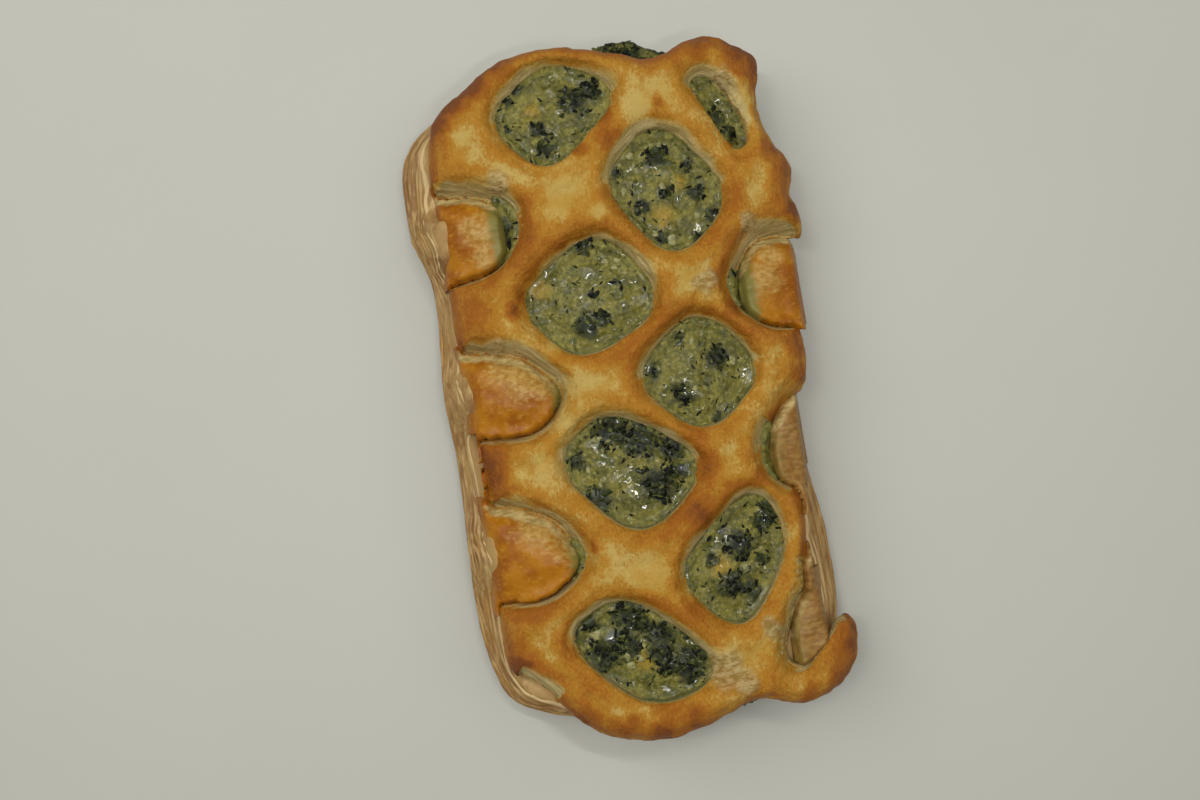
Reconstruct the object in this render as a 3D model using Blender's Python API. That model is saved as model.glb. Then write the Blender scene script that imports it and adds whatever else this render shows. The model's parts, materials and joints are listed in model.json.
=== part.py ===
"""Spinach feta pastry: a puff pastry parcel with a roller-cut lattice top.

Three pieces, as baked: a bottom sheet of puff pastry whose flaky long sides stand up round the filling,
the spinach and feta filling that runs through from end to end, and the lattice sheet laid over both.
The long axis is Y, X points to the right of the pastry as it is seen from above, and Z is up. The origin is
the middle of the underside. Sizes are in millimetres and each mesh is made in metres.
"""

import math

import bmesh
import bpy
import numpy as np
from mathutils import Vector
from mathutils.geometry import delaunay_2d_cdt

MM = 0.001
GAP = 0.35
CURVE_SAMPLES = 16
EDGE_MARGIN = 0.5

# Bottom sheet. The lobes are waves in each layer's edge, counted once round the pastry
FLOOR = 5.0
SIDE_RIM = 16.0
END_RIM = 5.2
RIM_RISE_FROM, RIM_RISE_TO = 17.0, 25.0
WALL_FROM, WALL_TO = 0.8, 3.2
SIDE_LEAN = 5.2
END_LEAN = 1.6
FOOT_INSET = 2.4
WIDEST_LEVEL = 0.38
LAYERS = 5
LAYER_DEPTH = 0.75
LAYER_WAVE = 0.4
INSET_LOBES, SAG_LOBES = 7, 11
INSET_TURN, SAG_TURN = 1.3, 0.9
LEAN_CURVE = 1.3
BASE_SPACING = 3.7
FLOOR_SPACING = 6.0
HUMP_SPACING = 2.2
WALL_SPACING = 2.4
HUMP_CLEAR = 0.8
HUMP_REACH = 2.0
HUMP_CREST = 0.75

# Lattice sheet
SHEET = 6.0
CUTTER_OVERLAP = 0.8
UNDERSIDE_EDGE = 14.2
UNDERSIDE_RISE = 6.9
DOME_HALF_WIDTH = 38.5
DOME_HALF_LENGTH = 74.0
DOME_LIMIT = 1.12
DOME_POWER = 2.3
END_DROP = 0.42
RIM_THICKNESS = 4.6
STRAND_THICKNESS = 7.4
STRAND_HALF = 4.6
JUNCTION_DIP = 0.9
DIP_FROM, DIP_TO = 0.9, 1.9
UNEVENNESS = 0.35
SAG_LENGTH = 46.0
PUFF_LENGTH = 17.0
EAR = (38.0, -60.0)
EAR_REACH = 13.0
EAR_DROOP = 3.0
WINDOW_TAPER = 0.8
WALL_SHIFT = (0.3, -1.1)
CORNER_SHARE = 0.36
NOTCH_CORNER_SHARE = 0.3
OUTLINE_SPACING = 1.4
VOXEL = 0.85
SMOOTHING_STEPS = 6
LATTICE_TRIANGLES = 6600

# Filling
OPENING_CLEAR = 0.5
FILL_BULGE = 3.3
BULGE_REACH = 2.6
HALF_BULGE = 1.0
FILL_SPACING = 2.5
HIDDEN_SPACING = 4.6
FILL_EDGE_SPACING = 2.6
CLUMP = 0.35
CLUMP_LENGTHS = (7.5, 4.6)
SIDE_LUMP_LENGTH = 9.0
SIDE_LEVELS = (0.66, 0.33)

# Full windows of the lattice: their left, top, right and lower points
WINDOWS = (
    ((-18.6, 59.7), (-6.0, 69.1), (6.6, 61.6), (-9.0, 48.2)),
    ((2.5, 42.7), (14.1, 53.2), (25.7, 37.1), (13.1, 26.8)),
    ((-19.3, 21.9), (-1.8, 32.8), (8.1, 17.2), (-9.0, 9.4)),
    ((2.1, 2.1), (15.3, 13.4), (26.1, 0.6), (13.6, -9.4)),
    ((-16.8, -12.7), (-5.9, -4.0), (11.3, -16.7), (-3.1, -28.1)),
    ((3.5, -38.5), (20.9, -24.4), (25.1, -36.0), (14.1, -50.7)),
    ((-20.9, -48.4), (-9.1, -41.9), (7.4, -58.7), (-6.9, -62.9)),
)
# The narrow slot near the top right corner, by its corners
SLOT = ((21.6, 62.8), (27.0, 61.8), (32.8, 50.0), (30.8, 43.4))
# Half windows that open to the left side, from the top down, by their corners
LEFT_NOTCHES = (
    ((-44.0, 49.0), (-27.0, 47.6), (-17.2, 42.5), (-17.2, 35.0), (-23.5, 28.6), (-44.0, 27.0)),
    ((-44.0, 15.4), (-30.0, 14.4), (-20.5, 11.6), (-11.5, 2.8), (-19.5, -6.4), (-44.0, -3.6)),
    ((-44.0, -16.8), (-29.0, -18.0), (-18.5, -23.8), (-13.6, -33.0), (-24.0, -40.4), (-44.0, -38.2)),
)
# Half windows that open to the right side, from the top down
RIGHT_NOTCHES = (
    ((48.0, 26.6), (30.6, 29.4), (23.0, 20.0), (23.6, 14.4), (30.0, 8.2), (48.0, 6.4)),
    ((46.0, -4.6), (31.6, -4.4), (24.4, -13.6), (24.0, -20.2), (28.0, -25.6), (46.0, -24.0)),
    ((41.0, -43.0), (27.4, -46.0), (21.4, -59.0), (23.4, -62.8), (30.2, -58.4), (38.4, -49.4)),
)
# Outer edge of the lattice sheet, clockwise from the lower left
LATTICE_OUTLINE = (
    (-35.4, -53.0), (-35.2, -41.0), (-34.2, -26.0), (-33.2, -10.0), (-34.4, 2.0), (-34.5, 15.0),
    (-34.2, 28.0), (-34.2, 40.0), (-34.0, 52.0), (-32.6, 60.0), (-29.2, 64.6), (-23.4, 67.2),
    (-20.0, 70.0), (-13.8, 72.2), (-4.5, 72.8), (5.6, 70.4), (13.5, 67.2), (18.2, 67.6), (22.6, 69.8),
    (28.0, 70.0), (33.4, 67.8), (37.6, 64.8), (37.8, 60.6), (36.2, 56.6), (36.6, 51.0), (39.0, 45.0),
    (41.4, 42.0), (41.0, 37.6), (39.6, 35.4), (41.6, 31.0), (41.8, 26.0), (39.6, 17.0), (37.4, 8.4),
    (37.6, 2.0), (36.2, -6.0), (32.0, -15.0), (30.2, -24.0), (31.4, -29.0), (31.0, -36.0), (29.4, -43.0),
    (29.6, -50.0), (34.4, -53.6), (37.6, -54.0), (39.2, -58.6), (37.8, -63.6), (34.6, -67.2),
    (28.6, -69.6), (22.6, -69.8), (16.4, -67.4), (10.6, -68.2), (3.8, -70.8), (-5.0, -72.4),
    (-15.0, -70.4), (-21.0, -66.8), (-25.8, -61.4), (-30.4, -56.4),
)
# Widest line of the bottom sheet, clockwise from the lower left
BASE_OUTLINE = (
    (-41.4, -50.0), (-41.7, -36.0), (-41.2, -22.0), (-40.6, -8.0), (-40.5, 8.0), (-39.9, 20.0),
    (-39.3, 28.4), (-40.2, 34.4), (-41.9, 39.6), (-42.4, 48.0), (-41.6, 56.6), (-38.4, 62.2),
    (-32.6, 66.2), (-25.0, 68.8), (-12.0, 70.6), (2.0, 70.4), (16.0, 68.6), (27.0, 66.6), (33.4, 62.0),
    (35.6, 54.0), (38.2, 44.0), (39.8, 34.0), (40.6, 27.0), (40.0, 18.0), (38.4, 8.0), (36.0, -2.0),
    (35.2, -12.0), (36.0, -23.0), (37.4, -33.0), (37.9, -44.0), (37.6, -55.0), (34.8, -62.6),
    (26.0, -67.0), (12.0, -70.0), (-1.0, -73.0), (-9.0, -74.0), (-14.4, -72.4), (-22.0, -70.2),
    (-30.0, -67.2), (-36.6, -63.8), (-39.8, -57.4),
)
# Plan of the filling, clockwise from the lower left. It stands out a little at both ends
FILLING_OUTLINE = (
    (-22.4, -58.0), (-22.8, -47.0), (-17.4, -31.0), (-19.6, -17.0), (-18.2, -7.0), (-14.8, 4.0),
    (-18.4, 14.0), (-21.6, 24.0), (-21.8, 38.0), (-21.8, 50.0), (-22.0, 61.0), (-17.0, 68.4),
    (-4.0, 70.0), (4.0, 71.6), (9.0, 72.7), (14.0, 71.4), (19.0, 68.6), (27.0, 66.0), (33.4, 60.0),
    (34.4, 50.0), (31.0, 42.0), (27.2, 34.0), (26.4, 10.0), (27.4, -12.0), (27.4, -40.0), (21.6, -52.0),
    (18.6, -64.0), (15.4, -69.0), (10.0, -68.4), (-4.0, -69.6), (-15.0, -67.0),
)
# Humps of bottom sheet dough that fill the half windows: x, y, radius, height over the rim
DOUGH_HUMPS = (
    (-27.8, 37.4, 21.0, 5.8),
    (-26.8, 4.6, 21.0, 5.8),
    (-27.4, -28.6, 20.0, 5.6),
    (34.0, 18.0, 18.0, 4.4),
    (32.0, -14.6, 14.0, 2.2),
    (30.0, -55.0, 13.0, 2.0),
)

CRUST_COLOUR = (0.52, 0.25, 0.07, 1.0)
FLAKY_COLOUR = (0.40, 0.22, 0.10, 1.0)
FILLING_COLOUR = (0.14, 0.17, 0.06, 1.0)
CRUST_ROUGHNESS = 0.45
FLAKY_ROUGHNESS = 0.6
FILLING_ROUGHNESS = 0.3


def smoothstep(value, low, high):
    t = np.clip((value - low) / (high - low), 0.0, 1.0)
    return t * t * (3.0 - 2.0 * t)


def ripple(x, y, length, phase):
    """An uneven wave between about -1 and 1, as wide as length."""
    turn = 2.0 * math.pi / length
    first = np.sin(turn * (x + 0.35 * y) + phase)
    second = np.sin(turn * 0.73 * (y - 0.6 * x) + 1.7 * phase)
    third = np.sin(turn * 1.61 * (0.5 * x + y) + 2.9 * phase)
    return (first + second + 0.6 * third) / 2.6


def clockwise_area(outline):
    """The area inside an outline, negative where it runs anticlockwise."""
    ahead = np.roll(outline, -1, axis=0)
    return 0.5 * np.sum(outline[:, 1] * ahead[:, 0] - outline[:, 0] * ahead[:, 1])


def rounded(corners, share=CORNER_SHARE, steps=5):
    """A polygon with each corner turned into a quadratic curve."""
    corners = np.array(corners)
    before = corners + share * (np.roll(corners, 1, axis=0) - corners)
    after = corners + share * (np.roll(corners, -1, axis=0) - corners)
    t = np.linspace(0.0, 1.0, steps)[:, None]
    arcs = [
        (1 - t) ** 2 * a + 2 * t * (1 - t) * c + t**2 * b
        for a, c, b in zip(before, corners, after)
    ]
    return np.concatenate(arcs)[::-1] if clockwise_area(corners) < 0 else np.concatenate(arcs)


def window_outline(extremes):
    """The rounded outline that reaches these four points: its corners lie further out."""
    extremes = np.array(extremes)
    middle = extremes.mean(axis=0)
    return rounded(middle + (extremes - middle) / (1.0 - CORNER_SHARE / 2.0))


def curve_through(points, spacing):
    """A closed smooth curve through the points, as samples this far apart."""
    points = np.array(points)
    before, after, beyond = (np.roll(points, shift, axis=0) for shift in (1, -1, -2))
    t = np.linspace(0.0, 1.0, CURVE_SAMPLES, endpoint=False)[:, None, None]
    dense = 0.5 * (
        2 * points
        + (after - before) * t
        + (2 * before - 5 * points + 4 * after - beyond) * t**2
        + (3 * points - before - 3 * after + beyond) * t**3
    )
    return evenly(dense.transpose(1, 0, 2).reshape(-1, 2), spacing)


def evenly(outline, spacing):
    """The same closed outline, sampled this far apart."""
    closed = np.vstack([outline, outline[:1]])
    along = np.concatenate([[0.0], np.cumsum(np.linalg.norm(np.diff(closed, axis=0), axis=1))])
    count = max(8, round(along[-1] / spacing))
    at = np.linspace(0.0, along[-1], count, endpoint=False)
    return np.column_stack([np.interp(at, along, closed[:, 0]), np.interp(at, along, closed[:, 1])])


def inside_distance(x, y, outline):
    """How far each point is inside the outline, negative outside it."""
    start, end = outline, np.roll(outline, -1, axis=0)
    step = end - start
    px, py = x[:, None] - start[:, 0], y[:, None] - start[:, 1]
    t = np.clip((px * step[:, 0] + py * step[:, 1]) / (step**2).sum(axis=1), 0.0, 1.0)
    distance = np.hypot(px - t * step[:, 0], py - t * step[:, 1]).min(axis=1)
    above_start, above_end = y[:, None] >= start[:, 1], y[:, None] >= end[:, 1]
    side = step[:, 0] * py - step[:, 1] * px
    turns = (~above_start & above_end & (side < 0)).sum(axis=1)
    turns = turns + (above_start & ~above_end & (side > 0)).sum(axis=1)
    return np.where(turns % 2 == 1, distance, -distance)


def narrowed(outline):
    """The same opening at the lower face: smaller, and shifted, so that its top wall slopes most."""
    middle = outline.mean(axis=0)
    return middle + (outline - middle) * WINDOW_TAPER + WALL_SHIFT


FULL_OPENINGS = [window_outline(w) for w in WINDOWS] + [rounded(SLOT)]
NOTCHES = [rounded(n, share=NOTCH_CORNER_SHARE) for n in LEFT_NOTCHES + RIGHT_NOTCHES]
LATTICE_EDGE = curve_through(LATTICE_OUTLINE, OUTLINE_SPACING)
FILLING_EDGE = curve_through(FILLING_OUTLINE, FILL_EDGE_SPACING)


def into_openings(x, y, openings):
    """How far each point is inside the nearest of these openings."""
    return np.max([inside_distance(x, y, outline) for outline in openings], axis=0)


def underside(x, y):
    """Height of the lattice sheet's lower face: a mound that falls towards the sides and the ends."""
    across = 1.0 - np.minimum(np.abs(x / DOME_HALF_WIDTH), DOME_LIMIT) ** DOME_POWER
    along = 1.0 - END_DROP * np.abs(y / DOME_HALF_LENGTH) ** 4
    ear = EAR_DROOP * (1.0 - smoothstep(np.hypot(x - EAR[0], y - EAR[1]), 0.0, EAR_REACH))
    sag = UNEVENNESS * ripple(x, y, SAG_LENGTH, 0.8)
    return UNDERSIDE_EDGE + UNDERSIDE_RISE * across * along - ear + sag


def thickness(x, y):
    """Puffed thickness of the lattice: full along each strand, less at its edges and at crossings."""
    from_openings = -into_openings(x, y, FULL_OPENINGS + NOTCHES)
    depth = np.clip(np.minimum(from_openings, inside_distance(x, y, LATTICE_EDGE)), 0.0, None)
    crown = 1.0 - (1.0 - np.minimum(depth / STRAND_HALF, 1.0)) ** 2
    dip = JUNCTION_DIP * smoothstep(depth, STRAND_HALF * DIP_FROM, STRAND_HALF * DIP_TO)
    uneven = UNEVENNESS * ripple(x, y, PUFF_LENGTH, 2.1)
    return RIM_THICKNESS + (STRAND_THICKNESS - RIM_THICKNESS) * crown - dip + uneven


def base_top(x, y):
    """Height of the bottom sheet's upper face: a floor, the standing sides, and the humps."""
    side = smoothstep(np.abs(x), RIM_RISE_FROM, RIM_RISE_TO)
    rim = END_RIM + (SIDE_RIM - END_RIM) * side
    outside = -inside_distance(x, y, FILLING_EDGE)
    height = FLOOR + (rim - FLOOR) * smoothstep(outside, WALL_FROM, WALL_TO)
    limit = underside(x, y) - GAP
    clear = into_openings(x, y, [narrowed(n) for n in NOTCHES]) - HUMP_CLEAR
    open_above = smoothstep(clear, 0.0, HUMP_REACH)
    hump = np.zeros_like(x)
    for hump_x, hump_y, radius, rise in DOUGH_HUMPS:
        near = np.clip(1.0 - np.hypot(x - hump_x, y - hump_y) / radius, 0.0, 1.0)
        hump = np.maximum(hump, rise * smoothstep(near, 0.0, HUMP_CREST))
    hump = hump * open_above * smoothstep(outside, WALL_FROM, WALL_TO)
    return np.minimum(height, limit) + hump


def filling_top(x, y):
    """Height of the filling: just under the lattice, and swollen into each window."""
    hidden = underside(x, y) - GAP
    into_full = into_openings(x, y, [narrowed(w) for w in FULL_OPENINGS]) - OPENING_CLEAR
    into_half = into_openings(x, y, [narrowed(n) for n in NOTCHES]) - OPENING_CLEAR
    wide, narrow = CLUMP_LENGTHS
    lumps = CLUMP * ripple(x, y, wide, 0.4) + CLUMP * ripple(x, y, narrow, 1.9)
    full = (FILL_BULGE + lumps) * smoothstep(into_full, 0.0, BULGE_REACH)
    return hidden + full + HALF_BULGE * smoothstep(into_half, 0.0, BULGE_REACH)


def material(name, colour, roughness):
    made = bpy.data.materials.new(name)
    made.use_nodes = True
    shader = made.node_tree.nodes["Principled BSDF"]
    shader.inputs["Base Color"].default_value = colour
    shader.inputs["Roughness"].default_value = roughness
    shader.inputs["Metallic"].default_value = 0.0
    return made


def link(name, mesh, finish):
    made = bpy.data.objects.new(name, mesh)
    mesh.materials.append(finish)
    mesh.shade_smooth()
    bpy.context.scene.collection.objects.link(made)
    return made


def prism(name, upper, lower, top, bottom):
    """A closed solid between two outlines with the same number of points."""
    bm = bmesh.new()
    high = [bm.verts.new((x * MM, y * MM, top * MM)) for x, y in upper]
    low = [bm.verts.new((x * MM, y * MM, bottom * MM)) for x, y in lower]
    bm.faces.new(high)
    bm.faces.new(low[::-1])
    for i in range(len(high)):
        j = (i + 1) % len(high)
        bm.faces.new((low[i], low[j], high[j], high[i]))
    bmesh.ops.recalc_face_normals(bm, faces=bm.faces)
    mesh = bpy.data.meshes.new(name)
    bm.to_mesh(mesh)
    bm.free()
    made = bpy.data.objects.new(name, mesh)
    bpy.context.scene.collection.objects.link(made)
    return made


def evaluated_mesh(source):
    bpy.context.view_layer.update()
    graph = bpy.context.evaluated_depsgraph_get()
    return bpy.data.meshes.new_from_object(source.evaluated_get(graph), depsgraph=graph)


def mesh_points(mesh):
    points = np.empty(len(mesh.vertices) * 3, np.float32)
    mesh.vertices.foreach_get("co", points)
    return points.reshape(-1, 3).astype(float) / MM


def set_mesh_points(mesh, points):
    mesh.vertices.foreach_set("co", (points * MM).astype(np.float32).ravel())
    mesh.update()


def make_lattice(finish):
    """The top sheet, cut flat, rounded at every edge, then draped over the filling and puffed."""
    sheet = prism("cut_sheet", LATTICE_EDGE, LATTICE_EDGE, SHEET, 0.0)
    openings = bpy.data.collections.new("openings")
    for number, outline in enumerate(FULL_OPENINGS + NOTCHES):
        top = SHEET + CUTTER_OVERLAP
        cutter = prism(f"opening_{number}", outline, narrowed(outline), top, -CUTTER_OVERLAP)
        bpy.context.scene.collection.objects.unlink(cutter)
        openings.objects.link(cutter)
    cut = sheet.modifiers.new("openings", "BOOLEAN")
    cut.operation = "DIFFERENCE"
    cut.operand_type = "COLLECTION"
    cut.collection = openings
    remesh = sheet.modifiers.new("one_skin", "REMESH")
    remesh.mode = "VOXEL"
    remesh.voxel_size = VOXEL * MM
    soften = sheet.modifiers.new("soften", "SMOOTH")
    soften.iterations = SMOOTHING_STEPS
    mesh = evaluated_mesh(sheet)
    for cutter in list(openings.objects):
        bpy.data.objects.remove(cutter)
    bpy.data.collections.remove(openings)
    bpy.data.objects.remove(sheet)
    points = mesh_points(mesh)
    x, y = points[:, 0], points[:, 1]
    low, high = points[:, 2].min(), points[:, 2].max()
    level = (points[:, 2] - low) / (high - low)
    points[:, 2] = underside(x, y) + thickness(x, y) * level
    set_mesh_points(mesh, points)
    lattice = link("lattice", mesh, finish)
    faces = sum(len(p.vertices) - 2 for p in mesh.polygons)
    thin_out = lattice.modifiers.new("fewer_faces", "DECIMATE")
    thin_out.ratio = LATTICE_TRIANGLES / faces
    thin_out.use_collapse_triangulate = True
    return lattice


def outward(outline):
    """Unit normals of a clockwise outline, pointing out."""
    along = np.roll(outline, -1, axis=0) - np.roll(outline, 1, axis=0)
    normal = np.column_stack([-along[:, 1], along[:, 0]])
    return normal / np.linalg.norm(normal, axis=1)[:, None]


def scattered(outline, spacing, margin):
    """Evenly staggered points inside an outline, this far from it."""
    low, high = outline.min(axis=0), outline.max(axis=0)
    row_step = spacing * math.sqrt(3.0) / 2.0
    rows = []
    for row in range(int((high[1] - low[1]) / row_step) + 1):
        start = low[0] + (0.5 * spacing if row % 2 else 0.0)
        xs = np.arange(start, high[0], spacing)
        rows.append(np.column_stack([xs, np.full(len(xs), low[1] + row * row_step)]))
    points = np.vstack(rows)
    return points[inside_distance(points[:, 0], points[:, 1], outline) > margin]


def covered(bm, edge_verts, edge, inner, height):
    """Triangles over the area inside an edge ring, through the inner points at their heights."""
    points = [Vector(p) for p in np.vstack([edge, inner])]
    border = [(i, (i + 1) % len(edge)) for i in range(len(edge))]
    places, _, faces, origins, _, _ = delaunay_2d_cdt(points, border, [], 1, 1e-6)
    heights = height(np.array([p.x for p in places]), np.array([p.y for p in places]))
    verts = []
    for place, z, origin in zip(places, heights, origins):
        if origin and origin[0] < len(edge):
            verts.append(edge_verts[origin[0]])
        else:
            verts.append(bm.verts.new((place.x * MM, place.y * MM, z * MM)))
    for face in faces:
        bm.faces.new([verts[i] for i in face])


def ring_of(bm, points, heights):
    return [bm.verts.new((p[0] * MM, p[1] * MM, h * MM)) for p, h in zip(points, heights)]


def skin(bm, rings):
    """Bands of faces between rings of vertices, each ring as long as the others."""
    for upper, lower in zip(rings, rings[1:]):
        for i in range(len(upper)):
            j = (i + 1) % len(upper)
            bm.faces.new((upper[i], upper[j], lower[j], lower[i]))


def closed_mesh(name, bm):
    bmesh.ops.recalc_face_normals(bm, faces=bm.faces)
    bmesh.ops.triangulate(bm, faces=[f for f in bm.faces if len(f.verts) > 4])
    mesh = bpy.data.meshes.new(name)
    bm.to_mesh(mesh)
    bm.free()
    return mesh


def make_base(finish):
    """The bottom sheet: a flat underside, layered sides and the upper face with its humps."""
    edge = curve_through(BASE_OUTLINE, BASE_SPACING)
    normal = outward(edge)
    side = smoothstep(np.abs(edge[:, 0]), RIM_RISE_FROM, RIM_RISE_TO)
    lean = END_LEAN + (SIDE_LEAN - END_LEAN) * side
    top_edge = edge - normal * lean[:, None]
    top_height = base_top(top_edge[:, 0], top_edge[:, 1])
    around = np.linspace(0.0, 2.0 * math.pi, len(edge), endpoint=False)
    bm = bmesh.new()
    rings = [ring_of(bm, top_edge, top_height)]
    bands = 2 * LAYERS
    for number in range(1, bands):
        share = 1.0 - number / bands
        over = max(0.0, (share - WIDEST_LEVEL) / (1.0 - WIDEST_LEVEL)) ** LEAN_CURVE
        under = max(0.0, (WIDEST_LEVEL - share) / WIDEST_LEVEL) ** 2
        fold = LAYER_DEPTH if number % 2 else -LAYER_DEPTH
        uneven = LAYER_WAVE * np.sin((INSET_LOBES + number % 3) * around + INSET_TURN * number)
        inset = lean * over + FOOT_INSET * under - 0.5 * fold - uneven
        sag = LAYER_WAVE * np.sin((SAG_LOBES - number % 4) * around + SAG_TURN * number) * share
        rings.append(ring_of(bm, edge - normal * inset[:, None], top_height * share + sag))
    rings.append(ring_of(bm, edge - normal * FOOT_INSET, np.zeros(len(edge))))
    skin(bm, rings)
    bm.faces.new(rings[-1])
    margin = EDGE_MARGIN * HUMP_SPACING
    fine = scattered(top_edge, HUMP_SPACING, margin)
    fine = fine[inside_distance(fine[:, 0], fine[:, 1], FILLING_EDGE) < -WALL_TO - margin]
    margin = EDGE_MARGIN * FLOOR_SPACING
    floor = scattered(FILLING_EDGE, FLOOR_SPACING, margin)
    floor = floor[inside_distance(floor[:, 0], floor[:, 1], top_edge) > margin]
    around_filling = curve_through(FILLING_OUTLINE, WALL_SPACING)
    offsets = (WALL_FROM, 0.5 * (WALL_FROM + WALL_TO), WALL_TO)
    wall = np.vstack([around_filling + outward(around_filling) * offset for offset in offsets])
    margin = EDGE_MARGIN * WALL_SPACING
    wall = wall[inside_distance(wall[:, 0], wall[:, 1], top_edge) > margin]
    covered(bm, rings[0], top_edge, np.vstack([fine, wall, floor]), base_top)
    return link("base", closed_mesh("base", bm), finish)


def make_filling(finish):
    """The spinach and feta: lumpy above, flat below, with upright sides that show at both ends."""
    edge = FILLING_EDGE
    normal = outward(edge)
    top = filling_top(edge[:, 0], edge[:, 1])
    bottom = np.full(len(edge), FLOOR + GAP)
    bm = bmesh.new()
    rings = [ring_of(bm, edge, top)]
    for share in SIDE_LEVELS:
        lump = CLUMP * ripple(edge[:, 0], edge[:, 1], SIDE_LUMP_LENGTH, 5.0 * share)
        rings.append(ring_of(bm, edge + normal * lump[:, None], bottom + (top - bottom) * share))
    rings.append(ring_of(bm, edge, bottom))
    skin(bm, rings)
    bm.faces.new(rings[-1])
    wide_margin, margin = EDGE_MARGIN * HIDDEN_SPACING, EDGE_MARGIN * FILL_SPACING
    inner = [scattered(edge, HIDDEN_SPACING, wide_margin)]
    for outline in FULL_OPENINGS + NOTCHES:
        lower = evenly(narrowed(outline), FILL_SPACING)
        foot = lower - outward(lower) * OPENING_CLEAR
        inner = [p[inside_distance(p[:, 0], p[:, 1], foot) < -wide_margin] for p in inner]
        crest = lower - outward(lower) * (OPENING_CLEAR + BULGE_REACH)
        inner += [foot, crest, scattered(crest, FILL_SPACING, margin)]
    inner = np.vstack(inner)
    inner = inner[inside_distance(inner[:, 0], inner[:, 1], edge) > margin]
    covered(bm, rings[0], edge, inner, filling_top)
    return link("filling", closed_mesh("filling", bm), finish)


def stand_on_origin(pieces):
    """Moves every mesh so that the middle of the whole underside is the origin."""
    bpy.context.view_layer.update()
    graph = bpy.context.evaluated_depsgraph_get()
    corners = np.array([c for piece in pieces for c in piece.evaluated_get(graph).bound_box])
    low, high = corners.min(axis=0), corners.max(axis=0)
    shift = Vector((-(low[0] + high[0]) / 2.0, -(low[1] + high[1]) / 2.0, -low[2]))
    for piece in pieces:
        for vert in piece.data.vertices:
            vert.co += shift


def main():
    for old in list(bpy.data.objects):
        bpy.data.objects.remove(old)
    crust = material("golden_crust", CRUST_COLOUR, CRUST_ROUGHNESS)
    flaky = material("flaky_pastry", FLAKY_COLOUR, FLAKY_ROUGHNESS)
    spinach = material("spinach_feta", FILLING_COLOUR, FILLING_ROUGHNESS)
    stand_on_origin([make_base(flaky), make_filling(spinach), make_lattice(crust)])


main()
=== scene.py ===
"""Spinach feta pastry: its finished surfaces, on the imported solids.

Sizes are in millimetres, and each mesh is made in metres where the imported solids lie.
"""

import json
import math
import random

import bpy
import numpy as np
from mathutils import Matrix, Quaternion, Vector, noise
from mathutils.bvhtree import BVHTree
from mathutils.kdtree import KDTree

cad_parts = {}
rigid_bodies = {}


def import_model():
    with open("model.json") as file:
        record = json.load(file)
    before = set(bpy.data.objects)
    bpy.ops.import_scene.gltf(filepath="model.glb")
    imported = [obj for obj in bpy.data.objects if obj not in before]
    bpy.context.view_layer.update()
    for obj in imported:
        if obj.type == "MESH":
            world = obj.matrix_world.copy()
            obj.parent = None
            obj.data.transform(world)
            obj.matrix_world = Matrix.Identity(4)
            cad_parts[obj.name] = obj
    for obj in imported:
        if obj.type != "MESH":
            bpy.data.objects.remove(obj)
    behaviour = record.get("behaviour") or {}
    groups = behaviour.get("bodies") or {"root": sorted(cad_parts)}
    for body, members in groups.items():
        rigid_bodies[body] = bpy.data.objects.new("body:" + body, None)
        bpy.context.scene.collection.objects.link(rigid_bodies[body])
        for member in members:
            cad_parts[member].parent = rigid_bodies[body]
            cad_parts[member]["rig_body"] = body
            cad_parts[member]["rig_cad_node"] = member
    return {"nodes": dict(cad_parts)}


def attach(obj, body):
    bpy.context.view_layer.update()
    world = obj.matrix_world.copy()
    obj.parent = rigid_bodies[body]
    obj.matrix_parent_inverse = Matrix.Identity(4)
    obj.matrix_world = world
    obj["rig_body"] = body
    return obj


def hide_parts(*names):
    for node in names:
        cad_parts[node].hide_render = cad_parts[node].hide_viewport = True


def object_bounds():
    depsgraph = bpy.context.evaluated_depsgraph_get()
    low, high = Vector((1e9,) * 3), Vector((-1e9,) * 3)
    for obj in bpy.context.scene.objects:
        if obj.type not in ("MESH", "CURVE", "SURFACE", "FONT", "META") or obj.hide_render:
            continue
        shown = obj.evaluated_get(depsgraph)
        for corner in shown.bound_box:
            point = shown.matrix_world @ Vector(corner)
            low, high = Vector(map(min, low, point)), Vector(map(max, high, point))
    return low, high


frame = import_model()
cad_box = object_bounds()

# Table, light and camera
# A pale matt table top under one broad soft light from the upper left and a weak fill from the right. Three
# slim bright lights give wet food its small sharp glints. The camera looks straight down on the food.
MM = 0.001
TABLE_SIZE = 2400.0
TABLE_BLOTCH = 90.0
TABLE_COLOURS = ((192, 191, 179), (186, 185, 173))
CAMERA_PLACE = (-6.2, -0.1, 263.0)
CAMERA_TURN = math.radians(-9.8)
CAMERA_LENS = 35.0
CAMERA_SENSOR = 36.0
CAMERA_NEAR = 10.0
# Each light: its place, its size and its watts
LIGHTS = (
    ((-430.0, 330.0, 760.0), (700.0, 700.0), 3.9),
    ((560.0, 60.0, 800.0), (600.0, 600.0), 1.5),
    ((90.0, 150.0, 520.0), (150.0, 14.0), 0.5),
    ((-110.0, 70.0, 520.0), (14.0, 130.0), 0.4),
    ((40.0, -120.0, 520.0), (120.0, 14.0), 0.35),
)
ROOM_LIGHT = 0.16
ROOM_COLOUR = (0.97, 0.98, 1.0, 1.0)


def seen(red, green, blue):
    """The linear values of a colour that is seen on a display as these, from 0 to 255."""
    shares = (red / 255, green / 255, blue / 255)
    return tuple(s / 12.92 if s < 0.04045 else ((s + 0.055) / 1.055) ** 2.4 for s in shares) + (1.0,)


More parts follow.
